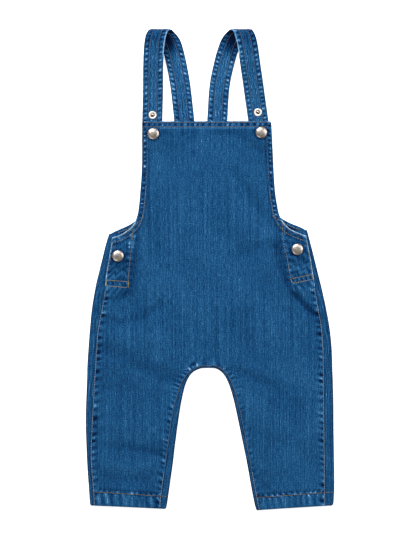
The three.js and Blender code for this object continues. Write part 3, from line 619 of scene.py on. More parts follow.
def math_node(tree, operation, *values):
    return add_node(tree, "ShaderNodeMath", list(enumerate(values)), operation=operation).outputs[0]


def raise_surface(tree, surface, relief, strength, metres):
    links = [("Height", relief), ("Strength", strength), ("Distance", metres)]
    tree.links.new(add_node(tree, "ShaderNodeBump", links).outputs["Normal"], surface.inputs["Normal"])


TWILL_ACROSS = 0.95  # from one rib of the twill to the next
TWILL_DOWN = 1.7


def denim(name, tones, contrast=1.0):
    """Washed indigo denim: uneven warp yarns down the cloth, a fine twill across them, and wear with
    painted light and shade.
    """
    material, surface = new_material(
        name, Roughness=0.88, Specular_IOR_Level=0.06, Sheen_Weight=0.03, Sheen_Roughness=0.45
    )
    tree = material.node_tree
    flat = add_node(tree, "ShaderNodeTexCoord").outputs["UV"]

    def yarns(across, down, detail=2.0):
        """Uneven yarns of a width and a length in millimetres, from -0.5 to 0.5."""
        size = (1000 / across, 1000 / down, 1)
        scaled = add_node(tree, "ShaderNodeMapping", [("Vector", flat), ("Scale", size)])
        noise = add_node(
            tree,
            "ShaderNodeTexNoise",
            [("Vector", scaled.outputs[0]), ("Scale", 1.0), ("Detail", detail), ("Roughness", 0.55)],
            noise_dimensions="2D",
        )
        return math_node(tree, "SUBTRACT", noise.outputs["Fac"], 0.5)

    fine_yarns = yarns(0.8, 8, 3.0)
    long_yarns = yarns(1.0, 120, 1.0)
    slubs = math_node(tree, "MAXIMUM", math_node(tree, "SUBTRACT", yarns(1.1, 45, 1.0), 0.14), 0)
    speckle = yarns(1.1, 1.4, 3.0)
    clouds = yarns(26, 34)
    place = add_node(tree, "ShaderNodeSeparateXYZ", [("Vector", flat)])
    rib_rise = math_node(tree, "MULTIPLY", place.outputs["Y"], -2 * math.pi * 1000 / TWILL_DOWN)
    ribs = math_node(tree, "MULTIPLY_ADD", place.outputs["X"], 2 * math.pi * 1000 / TWILL_ACROSS, rib_rise)
    ribs = math_node(tree, "SINE", ribs)
    wear_and_shade = add_node(tree, "ShaderNodeAttribute", attribute_name="wear_and_shade").outputs["Fac"]

    shade = math_node(tree, "MULTIPLY_ADD", fine_yarns, 0.58 * contrast, 0.475)
    for amount, part in [
        (0.4 * contrast, long_yarns),
        (0.05 * contrast, slubs),
        (0.8 * contrast, speckle),
        (0.12, clouds),
        (0.03, ribs),
        # the wear attribute also carries painted light and shade
        (0.46, wear_and_shade),
    ]:
        shade = math_node(tree, "MULTIPLY_ADD", part, amount, shade)
    ramp = add_node(tree, "ShaderNodeValToRGB", [("Fac", shade)])
    for position, _ in tones[1:-1]:
        ramp.color_ramp.elements.new(position)
    for stop, (_, colour) in zip(ramp.color_ramp.elements, tones):
        stop.color = colour
    tree.links.new(ramp.outputs["Color"], surface.inputs["Base Color"])

    relief = math_node(tree, "MULTIPLY_ADD", speckle, 0.6, math_node(tree, "MULTIPLY", fine_yarns, 0.8))
    relief = math_node(tree, "MULTIPLY_ADD", ribs, 0.16, relief)
    raise_surface(tree, surface, relief, 0.55, 0.00035)
    return material


INDIGO = [  # from unworn dye to bare yarn
    (0, (0.0002, 0.005, 0.028, 1)),
    (0.26, (0.001, 0.024, 0.084, 1)),
    (0.5, (0.0072, 0.065, 0.174, 1)),
    (0.76, (0.031, 0.146, 0.318, 1)),
    (1, (0.28, 0.48, 0.72, 1)),
]
panel_denim = denim("panel_denim", INDIGO)

ROW = 1.25  # spacing of the rows of a cloth


def side_section(name, t):
    y, fold_x, seam_x = side[name](t).T
    flap = FLAP_REACH * smooth(y, SLIT_FOOT, SLIT_FOOT + 6)
    sewn = 1 - smooth(y, SLIT_FOOT - 9, SLIT_FOOT - 3)
    raised = 1 - smooth(t, 0, 0.1)[:, None]
    fold = blend(np.stack([fold_x, y], axis=1), np.array(BACK_CORNER[name]), raised)
    faces = np.tile([float(OUT[name]), 0], (len(t), 1))
    at, flat, inset = wrap_section(fold, faces, np.abs(fold[:, 0] - seam_x) + flap, sewn)
    level = smooth(inset, 2.5, 8) * (at[..., 2] > FLAP_TOP / 2)
    at[..., 1] = blend(at[..., 1], y[:, None], level)
    flat[..., 1] = at[..., 1]
    return at, flat, inset


WRAP_SEEDS = {"left": 11, "right": 21, "inner": 51}


def wrap_patch(at, inset, seed):
    """A wrap's creases, which run down it, with painted light and shade on them, and painted shade round
    its fold.
    """
    along = at[..., 1]
    up = smooth(at[..., 2], 1, 3)
    crease = uneven_wave(inset + 1.6 * uneven_wave(along, 40, seed), 3.4, seed + 1)
    calm = 0.6 + 0.4 * uneven_wave(along, 26, seed + 2)
    lift = 0.16 * crease * calm * up * smooth(inset, 1, 2)
    at = at.copy()
    at[..., 2] += lift
    # painted highlight on the crease ridges, painted shade in their troughs and round the fold's turn
    wear_and_shade = (0.5 * crease * calm - 0.75 * (1 - smooth(inset, 0.3, 1.6))) * up - 0.05
    return at, wear_and_shade


side_steps = even_steps(lambda t: side["left"](t)[:, :2], ROW)
leg_steps = even_steps(lambda t: (leg["left"](t)[:, [0, 1]] + leg["left"](t)[:, 3:5]) / 2, ROW)
back_patches = []

# from side to side, down to the crotch
left_wrap, right_wrap = (side_section(name, side_steps) for name in OUT)
left_end, right_end = left_wrap[0][:, -1], right_wrap[0][:, -1]
crotch_wrap = wrap_section(*inner_fold("left", np.zeros(1)), np.array([LEG["left"][0][5]]), np.ones(1))
crotch_y = crotch_wrap[0][0, -1, 1]
middle_y = blend((left_end[:, 1] + right_end[:, 1]) / 2, crotch_y, smooth(side_steps, 0.5, 1))
middle = np.stack([np.full_like(middle_y, MIDDLE_X), middle_y, 0 * middle_y], axis=1)


def side_by_side(left, middle, right):
    return np.concatenate([left, middle, right], axis=1)


def from_wrap_to_wrap(first, lying, last, seeds):
    """Points, flat places, and wear and painted shade from one wrap, across what lies on the table, to the
    other.
    """
    lying[..., 2], lying_wear_and_shade = table_side(lying[..., 0], lying[..., 1])
    first_at, first_wear_and_shade = wrap_patch(first[0], first[2], WRAP_SEEDS[seeds[0]])
    last_at, last_wear_and_shade = wrap_patch(last[0], last[2], WRAP_SEEDS[seeds[1]])
    at = side_by_side(first_at, lying, last_at[:, ::-1])
    flat = side_by_side(first[1], lying[..., :2], last[1][:, ::-1])
    return at, flat, side_by_side(first_wear_and_shade, lying_wear_and_shade, last_wear_and_shade[:, ::-1])


def lying_row(left, middle, right):
    """Where the back lies on the table, from side to side by way of its middle."""
    left_half = lying_between(left, middle, LYING_SHARES)
    right_half = lying_between(middle, right, 1 - LYING_SHARES[::-1])
    return side_by_side(left_half, middle[:, None], right_half)


lying = lying_row(left_end, middle, right_end)
side_at, side_flat, side_wear_and_shade = from_wrap_to_wrap(left_wrap, lying, right_wrap, ("left", "right"))
back_patches.append(patch(side_at, side_flat, CLOTH, side_wear_and_shade, turned=True))

# the back bib, from its top down to where the sides begin
IN_SHADE = -0.25  # painted shade of its inside, which is darker
bib_steps = even_steps(lambda t: back_bib_edge(t)[:, :2], ROW)
edge = back_bib_edge(bib_steps)
level = np.zeros((len(edge), 1))
left_edge, right_edge = np.hstack([edge[:, :2], level]), np.hstack([edge[:, 2:], level])
middle = (left_edge + right_edge) / 2
middle[:, 0] = MIDDLE_X
bib_at = side_by_side(left_edge[:, None], lying_row(left_edge, middle, right_edge), right_edge[:, None])
wrap_columns = left_wrap[0].shape[1]
side_top = side_at[:1, wrap_columns - 1 : 1 - wrap_columns]
steps_down = blend(bib_at[-1:], side_top, np.array([0.25, 0.5, 0.75])[:, None, None])
bib_at = np.concatenate([bib_at, steps_down, side_top])
back_arm = {
    "left": np.vstack([back_bib_edge(fine)[:, :2], side_top[0, 0, :2]]),
    "right": np.vstack([back_bib_edge(fine)[:, 2:], side_top[0, -1, :2]]),
}
bib_wall = np.full(bib_at.shape[:2], CLOTH)
bib_wear_and_shade = np.full(bib_at.shape[:2], IN_SHADE)
bib_x, bib_y = bib_at[..., 0], bib_at[..., 1]
outer_wear_and_shade = table_side(bib_x, bib_y)[1]
outer_wear_and_shade += (1.1 * uneven_wave(bib_x, 6.3, 42) - 0.1) * hump(BACK_BIB_EDGE[0][1] - bib_y, 3.6, 1.7)
for name, line in back_arm.items():
    away, along = nearest_on(line, bib_x, bib_y)
    near_arm = (OUT[name] * (bib_x - MIDDLE_X) > 0) * (1 - smooth(bib_y, 66, 76))
    wave = uneven_wave(along, 6, 31)
    band = near_arm * (1 - smooth(away, BAND - 1, BAND))
    bib_wall = np.maximum(bib_wall, CLOTH + band * (TURNED - CLOTH + 0.2 * wave * hump(away, 2, 1.4)))
    # painted shadow on the back's inside beyond its band, where the front's armhole edge stands over it
    bib_wear_and_shade += band * (0.3 + 0.5 * wave * hump(away, 1.6, 1.2)) - 1.3 * near_arm * smooth(away, 3.2, 4.2)
    outer_wear_and_shade += 1.1 * wave * hump(away, 3, 1.5)
back_patches.append(patch(bib_at, bib_at[..., :2], bib_wall, outer_wear_and_shade, bib_wear_and_shade, turned=True))


def cut_back(radius, past):
    """How far a round corner is cut back, at points that lie past the start of its arc."""
    return radius - np.sqrt(radius**2 - past**2)


# the legs, with their turned-up ends
from_end = LEG_LENGTH * (1 - leg_steps)[:, None]
hem_wall = blend(CLOTH, TURNED, 1 - smooth(from_end, HEM_DEPTH - 1, HEM_DEPTH))
for name in OUT:
    y, fold_x, seam_x, _, _, wrap = leg[name](leg_steps).T
    sewn = np.ones_like(y)
    facing_out = np.tile([float(OUT[name]), 0], (len(y), 1))
    outer = wrap_section(np.stack([fold_x, y], axis=1), facing_out, np.abs(fold_x - seam_x), sewn)
    inner = wrap_section(*inner_fold(name, leg_steps), wrap, sewn)
    for wrapped_at, _, inset in (outer, inner):
        cut = cut_back(HEM_CORNER, np.maximum(HEM_CORNER - inset, 0))
        wrapped_at[..., 1] += cut * (1 - smooth(from_end, 0, 5))
    lying = lying_between(outer[0][:, -1], inner[0][:, -1], LYING_SHARES)
    at, flat, wear_and_shade = from_wrap_to_wrap(outer, lying, inner, (name, "inner"))
    lying_x = lying[..., 0]
    rope = uneven_wave(lying_x + 0.7 * from_end, 6.3, 43)
    streak = uneven_wave(lying_x, 8.5, 44) * (1 - smooth(from_end, HEM_DEPTH - 2, HEM_DEPTH))
    wear_and_shade[:, wrap_columns:-wrap_columns] += 0.6 * streak + 1.2 * rope * hump(from_end, HEM_DEPTH, 2)
    if name == "right":
        at, flat, wear_and_shade = at[:, ::-1], flat[:, ::-1], wear_and_shade[:, ::-1]
    back_patches.append(patch(at, flat, hem_wall, wear_and_shade, turned=True))

back = cloth("back_panel_cloth", back_patches, panel_denim)
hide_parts("back_panel")

# ---------------------------------------------------------------- straps
# Each strap is a length of denim folded double, its edges turned in, and sewn with two rows of
# stitching. It starts on the back bib, lies inner face up, and comes over in a soft loop to the
# front bib.
STRAP_WIDTH = 22.8
STRAP_CLOTH = 2
STRAP_ROW = 4.6  # of stitching, from the middle of the strap
GROOVE = 0.6  # half the width of what a row of stitching presses down
STRAP_COLUMNS = 29
# From the back bib over the fold to the front bib: y and height of the outer face, left x, right x
STRAP_PATHS = [
    (108, 1.5, -24.5, 5.8),
    (137, 1.5, -25.9, 7.2),
    (151, 0, -27.1, 7.9),
    (174, 0, -29.3, 8.8),
    (208, 0, -33.2, 11.2),
    (235, 0, -38.1, 16.7),
    (252, 0.2, -42.6, 22),
    (264, 2, -48, 27.4),
    (270.6, 6.6, -53, 32.4),
    (271.8, 11, -56, 35.4),
    (269.5, 15.4, -58.6, 38),
    (262, 18.2, -61.2, 40.6),
    (250, 17.4, -62.8, 43.2),
    (232, 13, -63.7, 45.7),
    (212, 7.6, -64, 48.7),
    (195, 4.1, -64.2, 51.1),
    (184, 3.2, -64.5, 52.7),
    (165, 3.2, -65, 55.4),
    (140, 3.2, -65.2, 58.6),
]
STRAPS = {"left": [row[:3] for row in STRAP_PATHS], "right": [row[:2] + row[3:] for row in STRAP_PATHS]}
STRAP_DENIM_SEED = {"left": 61, "right": 71}
INNER_FACE = 7  # added to the seed for a strap's inner face
STRAP_STEP = 0.004  # share of a strap's length over which its direction is taken
strap_denim = denim("strap_denim", INDIGO, contrast=1.1)


def strap_frame(path, t):
    """Middle of a strap's outer face, the way that face looks, and how much its rows are widened."""
    at = path(t)[:, [2, 0, 1]]
    at[:, 2] = np.maximum(at[:, 2], 0)
    ahead, behind = np.minimum(t + STRAP_STEP, 1), np.maximum(t - STRAP_STEP, 0)
    run = (path(ahead) - path(behind))[:, [2, 0, 1]]
    run /= np.linalg.norm(run, axis=1)[:, None]
    looks = np.cross(run, (1, 0, 0))
    looks /= np.linalg.norm(looks, axis=1)[:, None]
    twisted = smooth(at[:, 1], 258, 270)
    widened = blend(1 / np.sqrt(1 - run[:, 0] ** 2), 1, twisted)
    return at, looks, widened


def strap_relief(across, along, seed):
    """Puckers between the stitching and the edges, and the soft ridges of the folded middle, with their
    wear and painted shade along the strap's rounded edges.
    """
    out = np.abs(across)
    wave = np.where(
        across > 0,
        uneven_wave(along + 0.3 * out, 5.4, seed),
        uneven_wave(along - 0.3 * out, 5.4, seed + 1),
    )
    middle = uneven_wave(across + 1.1 * uneven_wave(along, 11, seed + 2), 3.2, seed + 3)
    calm = 0.6 + 0.4 * uneven_wave(along, 9, seed + 4)
    in_band = hump(out, 7.9, 1.7)
    in_middle = 1 - smooth(out, 3.2, 4.2)
    relief = 0.32 * wave * in_band + 0.16 * middle * calm * in_middle
    relief -= 0.16 * hump(out, STRAP_ROW, GROOVE)
    wear_and_shade = 1.05 * wave * in_band + 0.5 * middle * calm * in_middle - 0.3 * hump(out, 5.6, 0.7)
    # painted shade along the strap's rounded edges
    return relief, wear_and_shade + 0.13 - 0.04 * in_band - 0.5 * smooth(out, 9.9, 11)


for name in OUT:
    path = curve(STRAPS[name])
    steps = even_steps(path, 1.0)
    at, looks, widened = strap_frame(path, steps)
    along = way_along(at)
    radius = STRAP_CLOTH / 2
    level = np.linspace(-STRAP_WIDTH / 2 + radius, STRAP_WIDTH / 2 - radius, STRAP_COLUMNS)
    turn = np.pi * np.arange(1, 5) / 5
    rounded, sunk = radius * np.sin(turn), radius * np.cos(turn)
    across = np.concatenate([level, level[-1] + rounded, level[::-1], level[0] - rounded])
    deep = np.concatenate([0 * level, radius - sunk, 0 * level + STRAP_CLOTH, radius + sunk])
    columns, rows = np.meshgrid(across, along)
    face = np.where(np.broadcast_to(deep, columns.shape) < radius, 1, -1)
    seed = STRAP_DENIM_SEED[name]
    relief, wear_and_shade = strap_relief(columns, rows, seed)
    inner_relief, inner_wear_and_shade = strap_relief(columns, rows, seed + INNER_FACE)
    relief = np.where(face > 0, relief, inner_relief)
    wear_and_shade = np.where(face > 0, wear_and_shade, inner_wear_and_shade)
    crest = along[np.argmax(at[:, 1])]
    rim = smooth(-columns * OUT[name], STRAP_WIDTH / 2 - 2, STRAP_WIDTH / 2 - 1)
    wear_and_shade += 1.4 * rim * smooth(rows, crest - 8, crest) * (1 - smooth(rows, crest + 30, crest + 44))
    # painted shade inside the loop, on the inner face under the fold
    under_fold_shade = smooth(rows, crest - 44, crest - 6) * (0.25 + 0.75 * smooth(columns * OUT[name], -9, 3))
    under_fold_shade = np.maximum(under_fold_shade, smooth(rows, crest - 12, crest - 4))
    wear_and_shade -= 2.2 * (face < 0) * under_fold_shade * (1 - smooth(rows, crest + 20, crest + 48))
    past_fold = smooth(rows, crest - 5, crest + 5) * (1 - smooth(rows, crest + 14, crest + 36))
    wear_and_shade -= 0.4 * (face > 0) * past_fold
    points = np.repeat(at[:, None], len(across), axis=1)
    points[..., 0] += columns * widened[:, None]
    points += looks[:, None] * (face * relief - deep)[..., None]
    points[..., 2] = np.maximum(points[..., 2], 0)
    count, wide = points.shape[:2]
    grid = np.arange(count * wide).reshape(count, wide)
    beside = np.roll(grid, -1, axis=1)
    faces = np.stack([grid[:-1], grid[1:], beside[1:], beside[:-1]], axis=-1).reshape(-1, 4).tolist()
    faces += [grid[0].tolist(), grid[-1, ::-1].tolist()]
    flat = np.stack([columns + (40 + STRAP_WIDTH) * face, rows], axis=-1).reshape(-1, 2)
    strap = cloth_piece(
        f"strap_{name}_cloth", points.reshape(-1, 3), faces, flat, wear_and_shade.ravel(), strap_denim
    )
    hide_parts(f"strap_{name}")

# ---------------------------------------------------------------- front panel
# The front is cut in one with its bib. Its edges are turned in and sewn, the leg ends are turned
# up, and the stitching draws the cloth into uneven puckers that have worn pale.
BIB_TOP_LEFT, BIB_TOP_RIGHT = 167.6, 167.9
BIB_TOP_START, BIB_TOP_WIDTH = -76, 146  # over which the top rises from left to right
EDGE_ROW = 1.3  # of stitching, from a turned edge
SIDE_ROW = 5.7  # and along the inner edge of the bands at the bib's sides
BAND_ROW = 6.1  # and at its top
HEM_WIDTH = 86  # over which a hem's row of stitching slopes
HEM_ROWS = {"left": [(-132.4, -250.3), (-47.1, -255.8)], "right": [(139.2, -250.6), (50.2, -257.2)]}
FACING_ROWS = {
    "left": [(-86.7, 48.5), (-86.9, 40.3), (-88.1, 28.8), (-89.3, 16.2), (-91.5, -4.1), (-92.1, -19.9)],
    "right": [(82.6, 51.8), (82.3, 44.5), (83.7, 28.7), (87.3, 14.2), (90.2, -3.7), (92.8, -15.3)],
}
BOX_ROWS = {
    "left": [[(-116.6, -11.3), (-91.5, -13.2)], [(-116.9, -17.9), (-92.1, -19.9)]],
    "right": [[(115.8, -4.9), (91.6, -9.9)], [(116.8, -10.3), (92.8, -15.3)]],
}
# Columns of points by distance from an edge, closest across its stitched band
FRONT_EDGE_COLUMNS = np.concatenate(
    [[0, 0.4, 0.9, 1.5, 2.1, 2.8, 3.5, 4.2, 4.9, 5.5, 6.1, 6.8, 7.6], np.arange(8.6, 28, 1.35)]
)
FRONT_INNER_COLUMNS = FRONT_EDGE_COLUMNS[:14]
FRONT_MIDDLE_COLUMNS = 12

seam_lines = {}
for name in OUT:
    below_slit = even_steps(lambda t: side[name](t)[:, :2], 5)
    below_slit = below_slit[side[name](below_slit)[:, 0] < SLIT_FOOT + 2]
    upper = side[name](below_slit)[:, [2, 0]]
    lower = leg[name](fine)[1:, [2, 0]]
    seam_lines[f"side_{name}"] = np.vstack([upper, lower])
    at, faces_out = inner_fold(name, fine)
    inset = leg[name](fine)[:, 5:] + SEAM_GAP / 2
    seam_lines[f"inner_{name}"] = at - faces_out * inset


# How strongly each seam is puckered
PUCKERED = {"side_left": 1, "side_right": 1, "inner_left": 0.85, "inner_right": 0.55}


def front_finish(x, y):
    """The sewn and worn detail of the front, with painted light and shade: relief in millimetres, wear and
    shade, and wall.
    """
    relief = 0.22 * uneven_wave(0.8 * x + 0.3 * y, 74, 5) * uneven_wave(y - 0.2 * x, 66, 6)
    wear_and_shade = 0.05 * uneven_wave(0.7 * x + 0.5 * y, 58, 7)
    wall = np.full(np.shape(x), CLOTH)

    # large creases: painted highlight on the ridges and painted shade in the troughs
    for line, width, depth in crease_lines:
        away, _ = nearest_on(line, x, y)
        wear_and_shade += 0.8 * depth / width * hump(away, 0, width)

    # side and inner leg seams: short puckers square to the stitching, closer round the crotch
    for name, seed in [("side_left", 101), ("side_right", 111), ("inner_left", 121), ("inner_right", 131)]:
        away, along = nearest_on(seam_lines[name], x, y)
        arch = 1 - smooth(along, 45, 62) if name.startswith("inner") else 0 * along
        reach = 4 + 1.4 * uneven_wave(along, 19, seed + 3) + 2 * arch
        wave = uneven_wave(along + 0.25 * away, 8 if name.startswith("side") else 6.6, seed)
        wave = blend(wave, uneven_wave(along, 4.6, seed + 1), arch)
        calm = (0.62 + 0.38 * uneven_wave(along, 23, seed + 2)) * PUCKERED[name]
        window = smooth(away, 0.7, 1.9) * hump(np.maximum(away, 1.9), 1.9, reach)
        relief += 0.36 * wave * calm * window + 0.28 * hump(away, 1.4, 1.8)
        wear_and_shade += np.where(wave < 0, 1.65, 1.15 + 0.8 * arch) * wave * calm * window

    # turned sides of the bib and the armholes: a roped band, a pale worn edge at the armholes, painted
    # shade along the bib's side edges and a painted shadow line past the band
    for name, seed in [("left", 141), ("right", 151)]:
        away, along = nearest_on(bib_sides[name], x, y)
        upright = smooth(y, 50, 64)
        wave = uneven_wave(along + 0.25 * away, 5.8, seed)
        band = hump(away, 3.3, 1.7)
        relief += (0.14 + 0.24 * upright) * wave * band - 0.2 * hump(away, SIDE_ROW, GROOVE)
        relief -= 0.25 * smooth(away, BAND, BAND + 1.2) * (1 - smooth(away, 10, 16))
        # painted shadow line just past the turned band
        wear_and_shade += (0.3 + 0.15 * upright) * wave * band - 0.3 * hump(away, 7.4, 1)
        wear_and_shade += 1.3 * upright * smooth(wave, 0.1, 0.9) * hump(away, 2.9, 1.1)
        # pale worn edge at the armholes, turning to painted shade along the rounded edges of the bib's
        # sides
        wear_and_shade += (1.6 - 1.9 * upright) * hump(away, 0, 0.6 + 0.5 * upright) - (0.3 + 0.25 * upright) * band
        turned = (1 - smooth(away, BAND - 0.3, BAND + 0.3)) * smooth(y, 34, 40)
        wall = np.maximum(wall, blend(CLOTH, TURNED, turned))

    # turned top of the bib
    top = blend(BIB_TOP_LEFT, BIB_TOP_RIGHT, (x - BIB_TOP_START) / BIB_TOP_WIDTH) - y
    wave = uneven_wave(x + 0.3 * top, 6.3, 161)
    band = hump(top, 3.6, 1.7)
    relief += 0.3 * wave * band - 0.2 * hump(top, BAND_ROW, GROOVE)
    wear_and_shade += (1.1 * wave - 0.1) * band + 0.45 * hump(top, 7.3, 0.8)
    wear_and_shade += (0.5 + 0.5 * uneven_wave(x, 9, 162)) * hump(top, 0, 0.5) - 0.4 * hump(top, 1.5, 0.6)
    # painted shade below the band
    wear_and_shade -= (0.14 + 0.1 * uneven_wave(x, 31, 163)) * hump(top, 12, 3.6)
    wall = np.maximum(wall, blend(CLOTH, TURNED, 1 - smooth(top, BAND - 0.6, BAND)))

    # side slits: puckers along the facing's stitching with painted shade and highlight beside it, slack
    # folds with painted light and shade, and a worn edge
    for name, seed in [("left", 171), ("right", 181)]:
        line = np.array(FACING_ROWS[name])
        away, along = nearest_on(line, x, y)
        inner_side = OUT[name] * (x - np.interp(-y, -line[:, 1], line[:, 0])) < 0
        beside = smooth(y, SLIT_FOOT - 1, SLIT_FOOT + 4) * (1 - smooth(y, 44, 52))
        wave = uneven_wave(along, 6.4, seed)
        on_facing = ~inner_side & (OUT[name] * x > 70)
        relief += beside * (0.34 * wave * hump(away, 2.2, 1.7) - 0.25 * hump(away, 0, 0.7))
        wear_and_shade += beside * np.where(inner_side, 0.45, 0.65) * wave * hump(away, 2.2, 1.7)
        # painted shade in the trough beside the facing's stitching, and near its top a painted highlight
        # on the cloth raised beside it
        wear_and_shade -= beside * np.where(inner_side, 0.3, 0.15) * hump(away, 3.5, 3)
        wear_and_shade += beside * 0.5 * smooth(y, 8, 30) * hump(away, 2.3, 1.1)
        drift = 3 * uneven_wave(x - 0.4 * y, 9, seed + 2)
        folds = uneven_wave(y + 0.5 * OUT[name] * x + drift, 9, seed + 1)
        folds = folds * (0.7 + 0.3 * uneven_wave(y, 21, seed + 6))
        across = beside * on_facing * smooth(away, 2, 5)
        relief += 0.42 * folds * across
        # painted light on the folds' ridges and painted shade in their troughs, a little darker overall
        wear_and_shade += (0.6 * folds - 0.14) * across
        slit_away, slit_along = nearest_on(slit_lines[name], x, y)
        above_foot = smooth(y, SLIT_FOOT, SLIT_FOOT + 3) * (y < 40)
        corner_x, corner_y = slit_lines[name][0]
        corner_away = np.hypot(x - corner_x, y - corner_y)
        wear_and_shade += 0.5 * (1 - smooth(corner_away, 1.5, 4.5))
        edge_wave = uneven_wave(slit_along, 5.5, seed + 3)
        wear_and_shade += above_foot * (1.6 * hump(slit_away, 0, 0.6) + 0.35 * edge_wave * hump(slit_away, 2.6, 1.4))
        relief += above_foot * 0.12 * edge_wave * hump(slit_away, 2.4, 1.4)
        wall = np.maximum(wall, blend(CLOTH, 1.4, above_foot * (1 - smooth(slit_away, 3, 4))))
        # the two rows of stitching at the foot of a slit, and the drag lines below them
        for row in BOX_ROWS[name]:
            relief -= 0.2 * hump(nearest_on(np.array(row), x, y)[0], 0, GROOVE)
        (outer_x, outer_y), (inner_x, inner_y) = BOX_ROWS[name][0]
        share = np.clip((x - inner_x) / (outer_x - inner_x), 0, 1)
        in_box = hump(y, blend(inner_y, outer_y, share) - 3.2, 1.9) * (share > 0.02) * (share < 0.98)
        box_wave = uneven_wave(x + 0.4 * y, 5.2, seed + 4)
        relief += 0.24 * box_wave * in_box
        wear_and_shade += 0.6 * box_wave * in_box
        below = hump(y, blend(inner_y, outer_y, share) - 11.5, 4) * (share > 0.05) * (share < 1)
        drag = uneven_wave(x + OUT[name] * 0.7 * y, 8, seed + 5)
        relief += 0.34 * drag * below
        # painted light and shade on the drag lines
        wear_and_shade += 0.5 * drag * below

    # hems: streaks across the turn-up, roping on both sides of its stitching, and painted shade along the
    # stitching and in a line above it
    for name, seed in [("left", 191), ("right", 201)]:
        line = np.array(HEM_ROWS[name])
        on_leg = OUT[name] * (x - MIDDLE_X) > 0
        share = np.clip((x - line[0, 0]) / (line[1, 0] - line[0, 0]), 0, 1)
        slant = math.atan2(line[1, 1] - line[0, 1], HEM_WIDTH)
        above = (y - blend(line[0, 1], line[1, 1], share)) * math.cos(slant)
        streak = uneven_wave(x + 0.15 * above, 8.5, seed) * on_leg
        rope = uneven_wave(x - 0.7 * above, 6.3, seed + 1) * on_leg
        band = smooth(above, -16, -11) * (1 - smooth(above, -1.2, -0.4))
        relief += on_leg * (0.2 * streak * band - 0.25 * hump(above, 0, GROOVE))
        wear_and_shade += ((0.6 if name == "left" else 0.42) * streak + 0.07) * band * on_leg
        # painted shade along the stitching
        wear_and_shade += 0.8 * rope * hump(above, -1.7, 0.9) - on_leg * 0.5 * hump(above, 0, 0.7)
        roped = rope * smooth(above, 0.2, 1) * hump(np.maximum(above, 1), 1, 2.6)
        relief += 0.3 * roped
        # roped wear, and a painted shadow line above the stitching
        wear_and_shade += on_leg * (1.05 * roped + 0.45 * hump(above, 1.2, 0.7) - 0.35 * hump(above, 3.4, 1.2))
        wall = np.maximum(wall, blend(CLOTH, TURNED, on_leg * (1 - smooth(above, -0.4, 0.3))))

    # the cloth dips round each cap, with a painted shadow ring
    for snap in SNAP_TOPS:
        reach = np.hypot(x - SNAPS[snap][0], y - SNAPS[snap][1])
        relief -= 0.22 * hump(reach, 8, 1.5)
        wear_and_shade -= 0.4 * hump(reach, 7.6, 1.4)
    return relief, np.clip(wear_and_shade, -1, 1.2), wall


def front_surface(x, y):
    relief, wear_and_shade, wall = front_finish(x, y)
    return front_height(x, y) + relief, wear_and_shade, wall


def half_row(edge, middle):
    """Columns from an edge to the middle: at set distances near the edge, then evenly."""
    width = np.abs(middle[:, 0] - edge[:, 0])
    near = FRONT_EDGE_COLUMNS[None, :] / width[:, None]
    rest = FRONT_MIDDLE_COLUMNS + len(FRONT_INNER_COLUMNS)
    u = np.arange(1, rest + 1)[None] / rest
    return np.concatenate([near, blend(near[:, -1:], 1, u)], axis=1)


def leg_shares(width):
    near = FRONT_EDGE_COLUMNS[None, :] / width[:, None]
    far = 1 - FRONT_INNER_COLUMNS[None, ::-1] / width[:, None]
    u = np.arange(1, FRONT_MIDDLE_COLUMNS + 1)[None] / (FRONT_MIDDLE_COLUMNS + 1)
    between = blend(near[:, -1:], far[:, :1], u)
    return np.concatenate([near, between, far], axis=1)


BIB_CORNER = 3.2  # radius of the bib's top corners
front_bib_steps = even_steps(lambda t: bib_edge(t)[:, :2], ROW)
top_rows = [0, 0.1, 0.35, 0.8, 1.4, 2.1, 2.8]  # closer rows round the corners
top_steps = np.interp(top_rows, BIB_TOP_LEFT - bib_edge(fine / 10)[:, 1], fine / 10)
front_bib_steps = np.concatenate([top_steps, front_bib_steps[front_bib_steps > top_steps[-1] + 0.003]])
edge = bib_edge(front_bib_steps)
for column, out in [(0, -1), (2, 1)]:
    drop = np.minimum(edge[0, column + 1] - edge[:, column + 1], BIB_CORNER)
    edge[:, column] -= out * cut_back(BIB_CORNER, BIB_CORNER - drop)
left, right = edge[:, :2], edge[:, 2:]
middle_y = (left[:, 1] + right[:, 1]) / 2

side_left, side_right = (
    side[name](side_steps)[:, [2, 0]] - (OUT[name] * SEAM_GAP / 2, 0) for name in OUT
)
front_crotch_y = seam_lines["inner_left"][0, 1]
side_middle_y = blend((side_left[:, 1] + side_right[:, 1]) / 2, front_crotch_y, smooth(side_steps, 0.5, 1))
left = np.concatenate([left, side_left[1:]])
right = np.concatenate([right, side_right[1:]])
middle_y = np.concatenate([middle_y, side_middle_y[1:]])
middle = np.stack([np.full_like(middle_y, MIDDLE_X), middle_y], axis=1)
left_shares, right_shares = half_row(left, middle), half_row(right, middle)
left_half = blend(left[:, None], middle[:, None], left_shares[..., None])
right_half = blend(right[:, None], middle[:, None], right_shares[..., None])
body_xy = np.concatenate([left_half, right_half[:, -2::-1]], axis=1)

front_patches = []


def front_patch(xy):
    z, wear_and_shade, wall = front_surface(xy[..., 0], xy[..., 1])
    return patch(np.dstack([xy, z]), xy, wall, wear_and_shade)


front_patches.append(front_patch(body_xy))
for name in OUT:
    rows = leg[name](leg_steps)
    outer = rows[:, [2, 0]] - (OUT[name] * SEAM_GAP / 2, 0)
    fold, faces_out = inner_fold(name, leg_steps)
    inner = fold - faces_out * (rows[:, 5:] + SEAM_GAP / 2)
    body_shares = half_row(outer[:1], middle[-1:])
    own_shares = leg_shares(np.linalg.norm(outer - inner, axis=1))
    shares = blend(body_shares, own_shares, smooth(leg_steps, 0, 0.14)[:, None])
    xy = blend(outer[:, None], inner[:, None], shares[..., None])
    if name == "right":
        xy = xy[:, ::-1]
    front_patches.append(front_patch(xy))

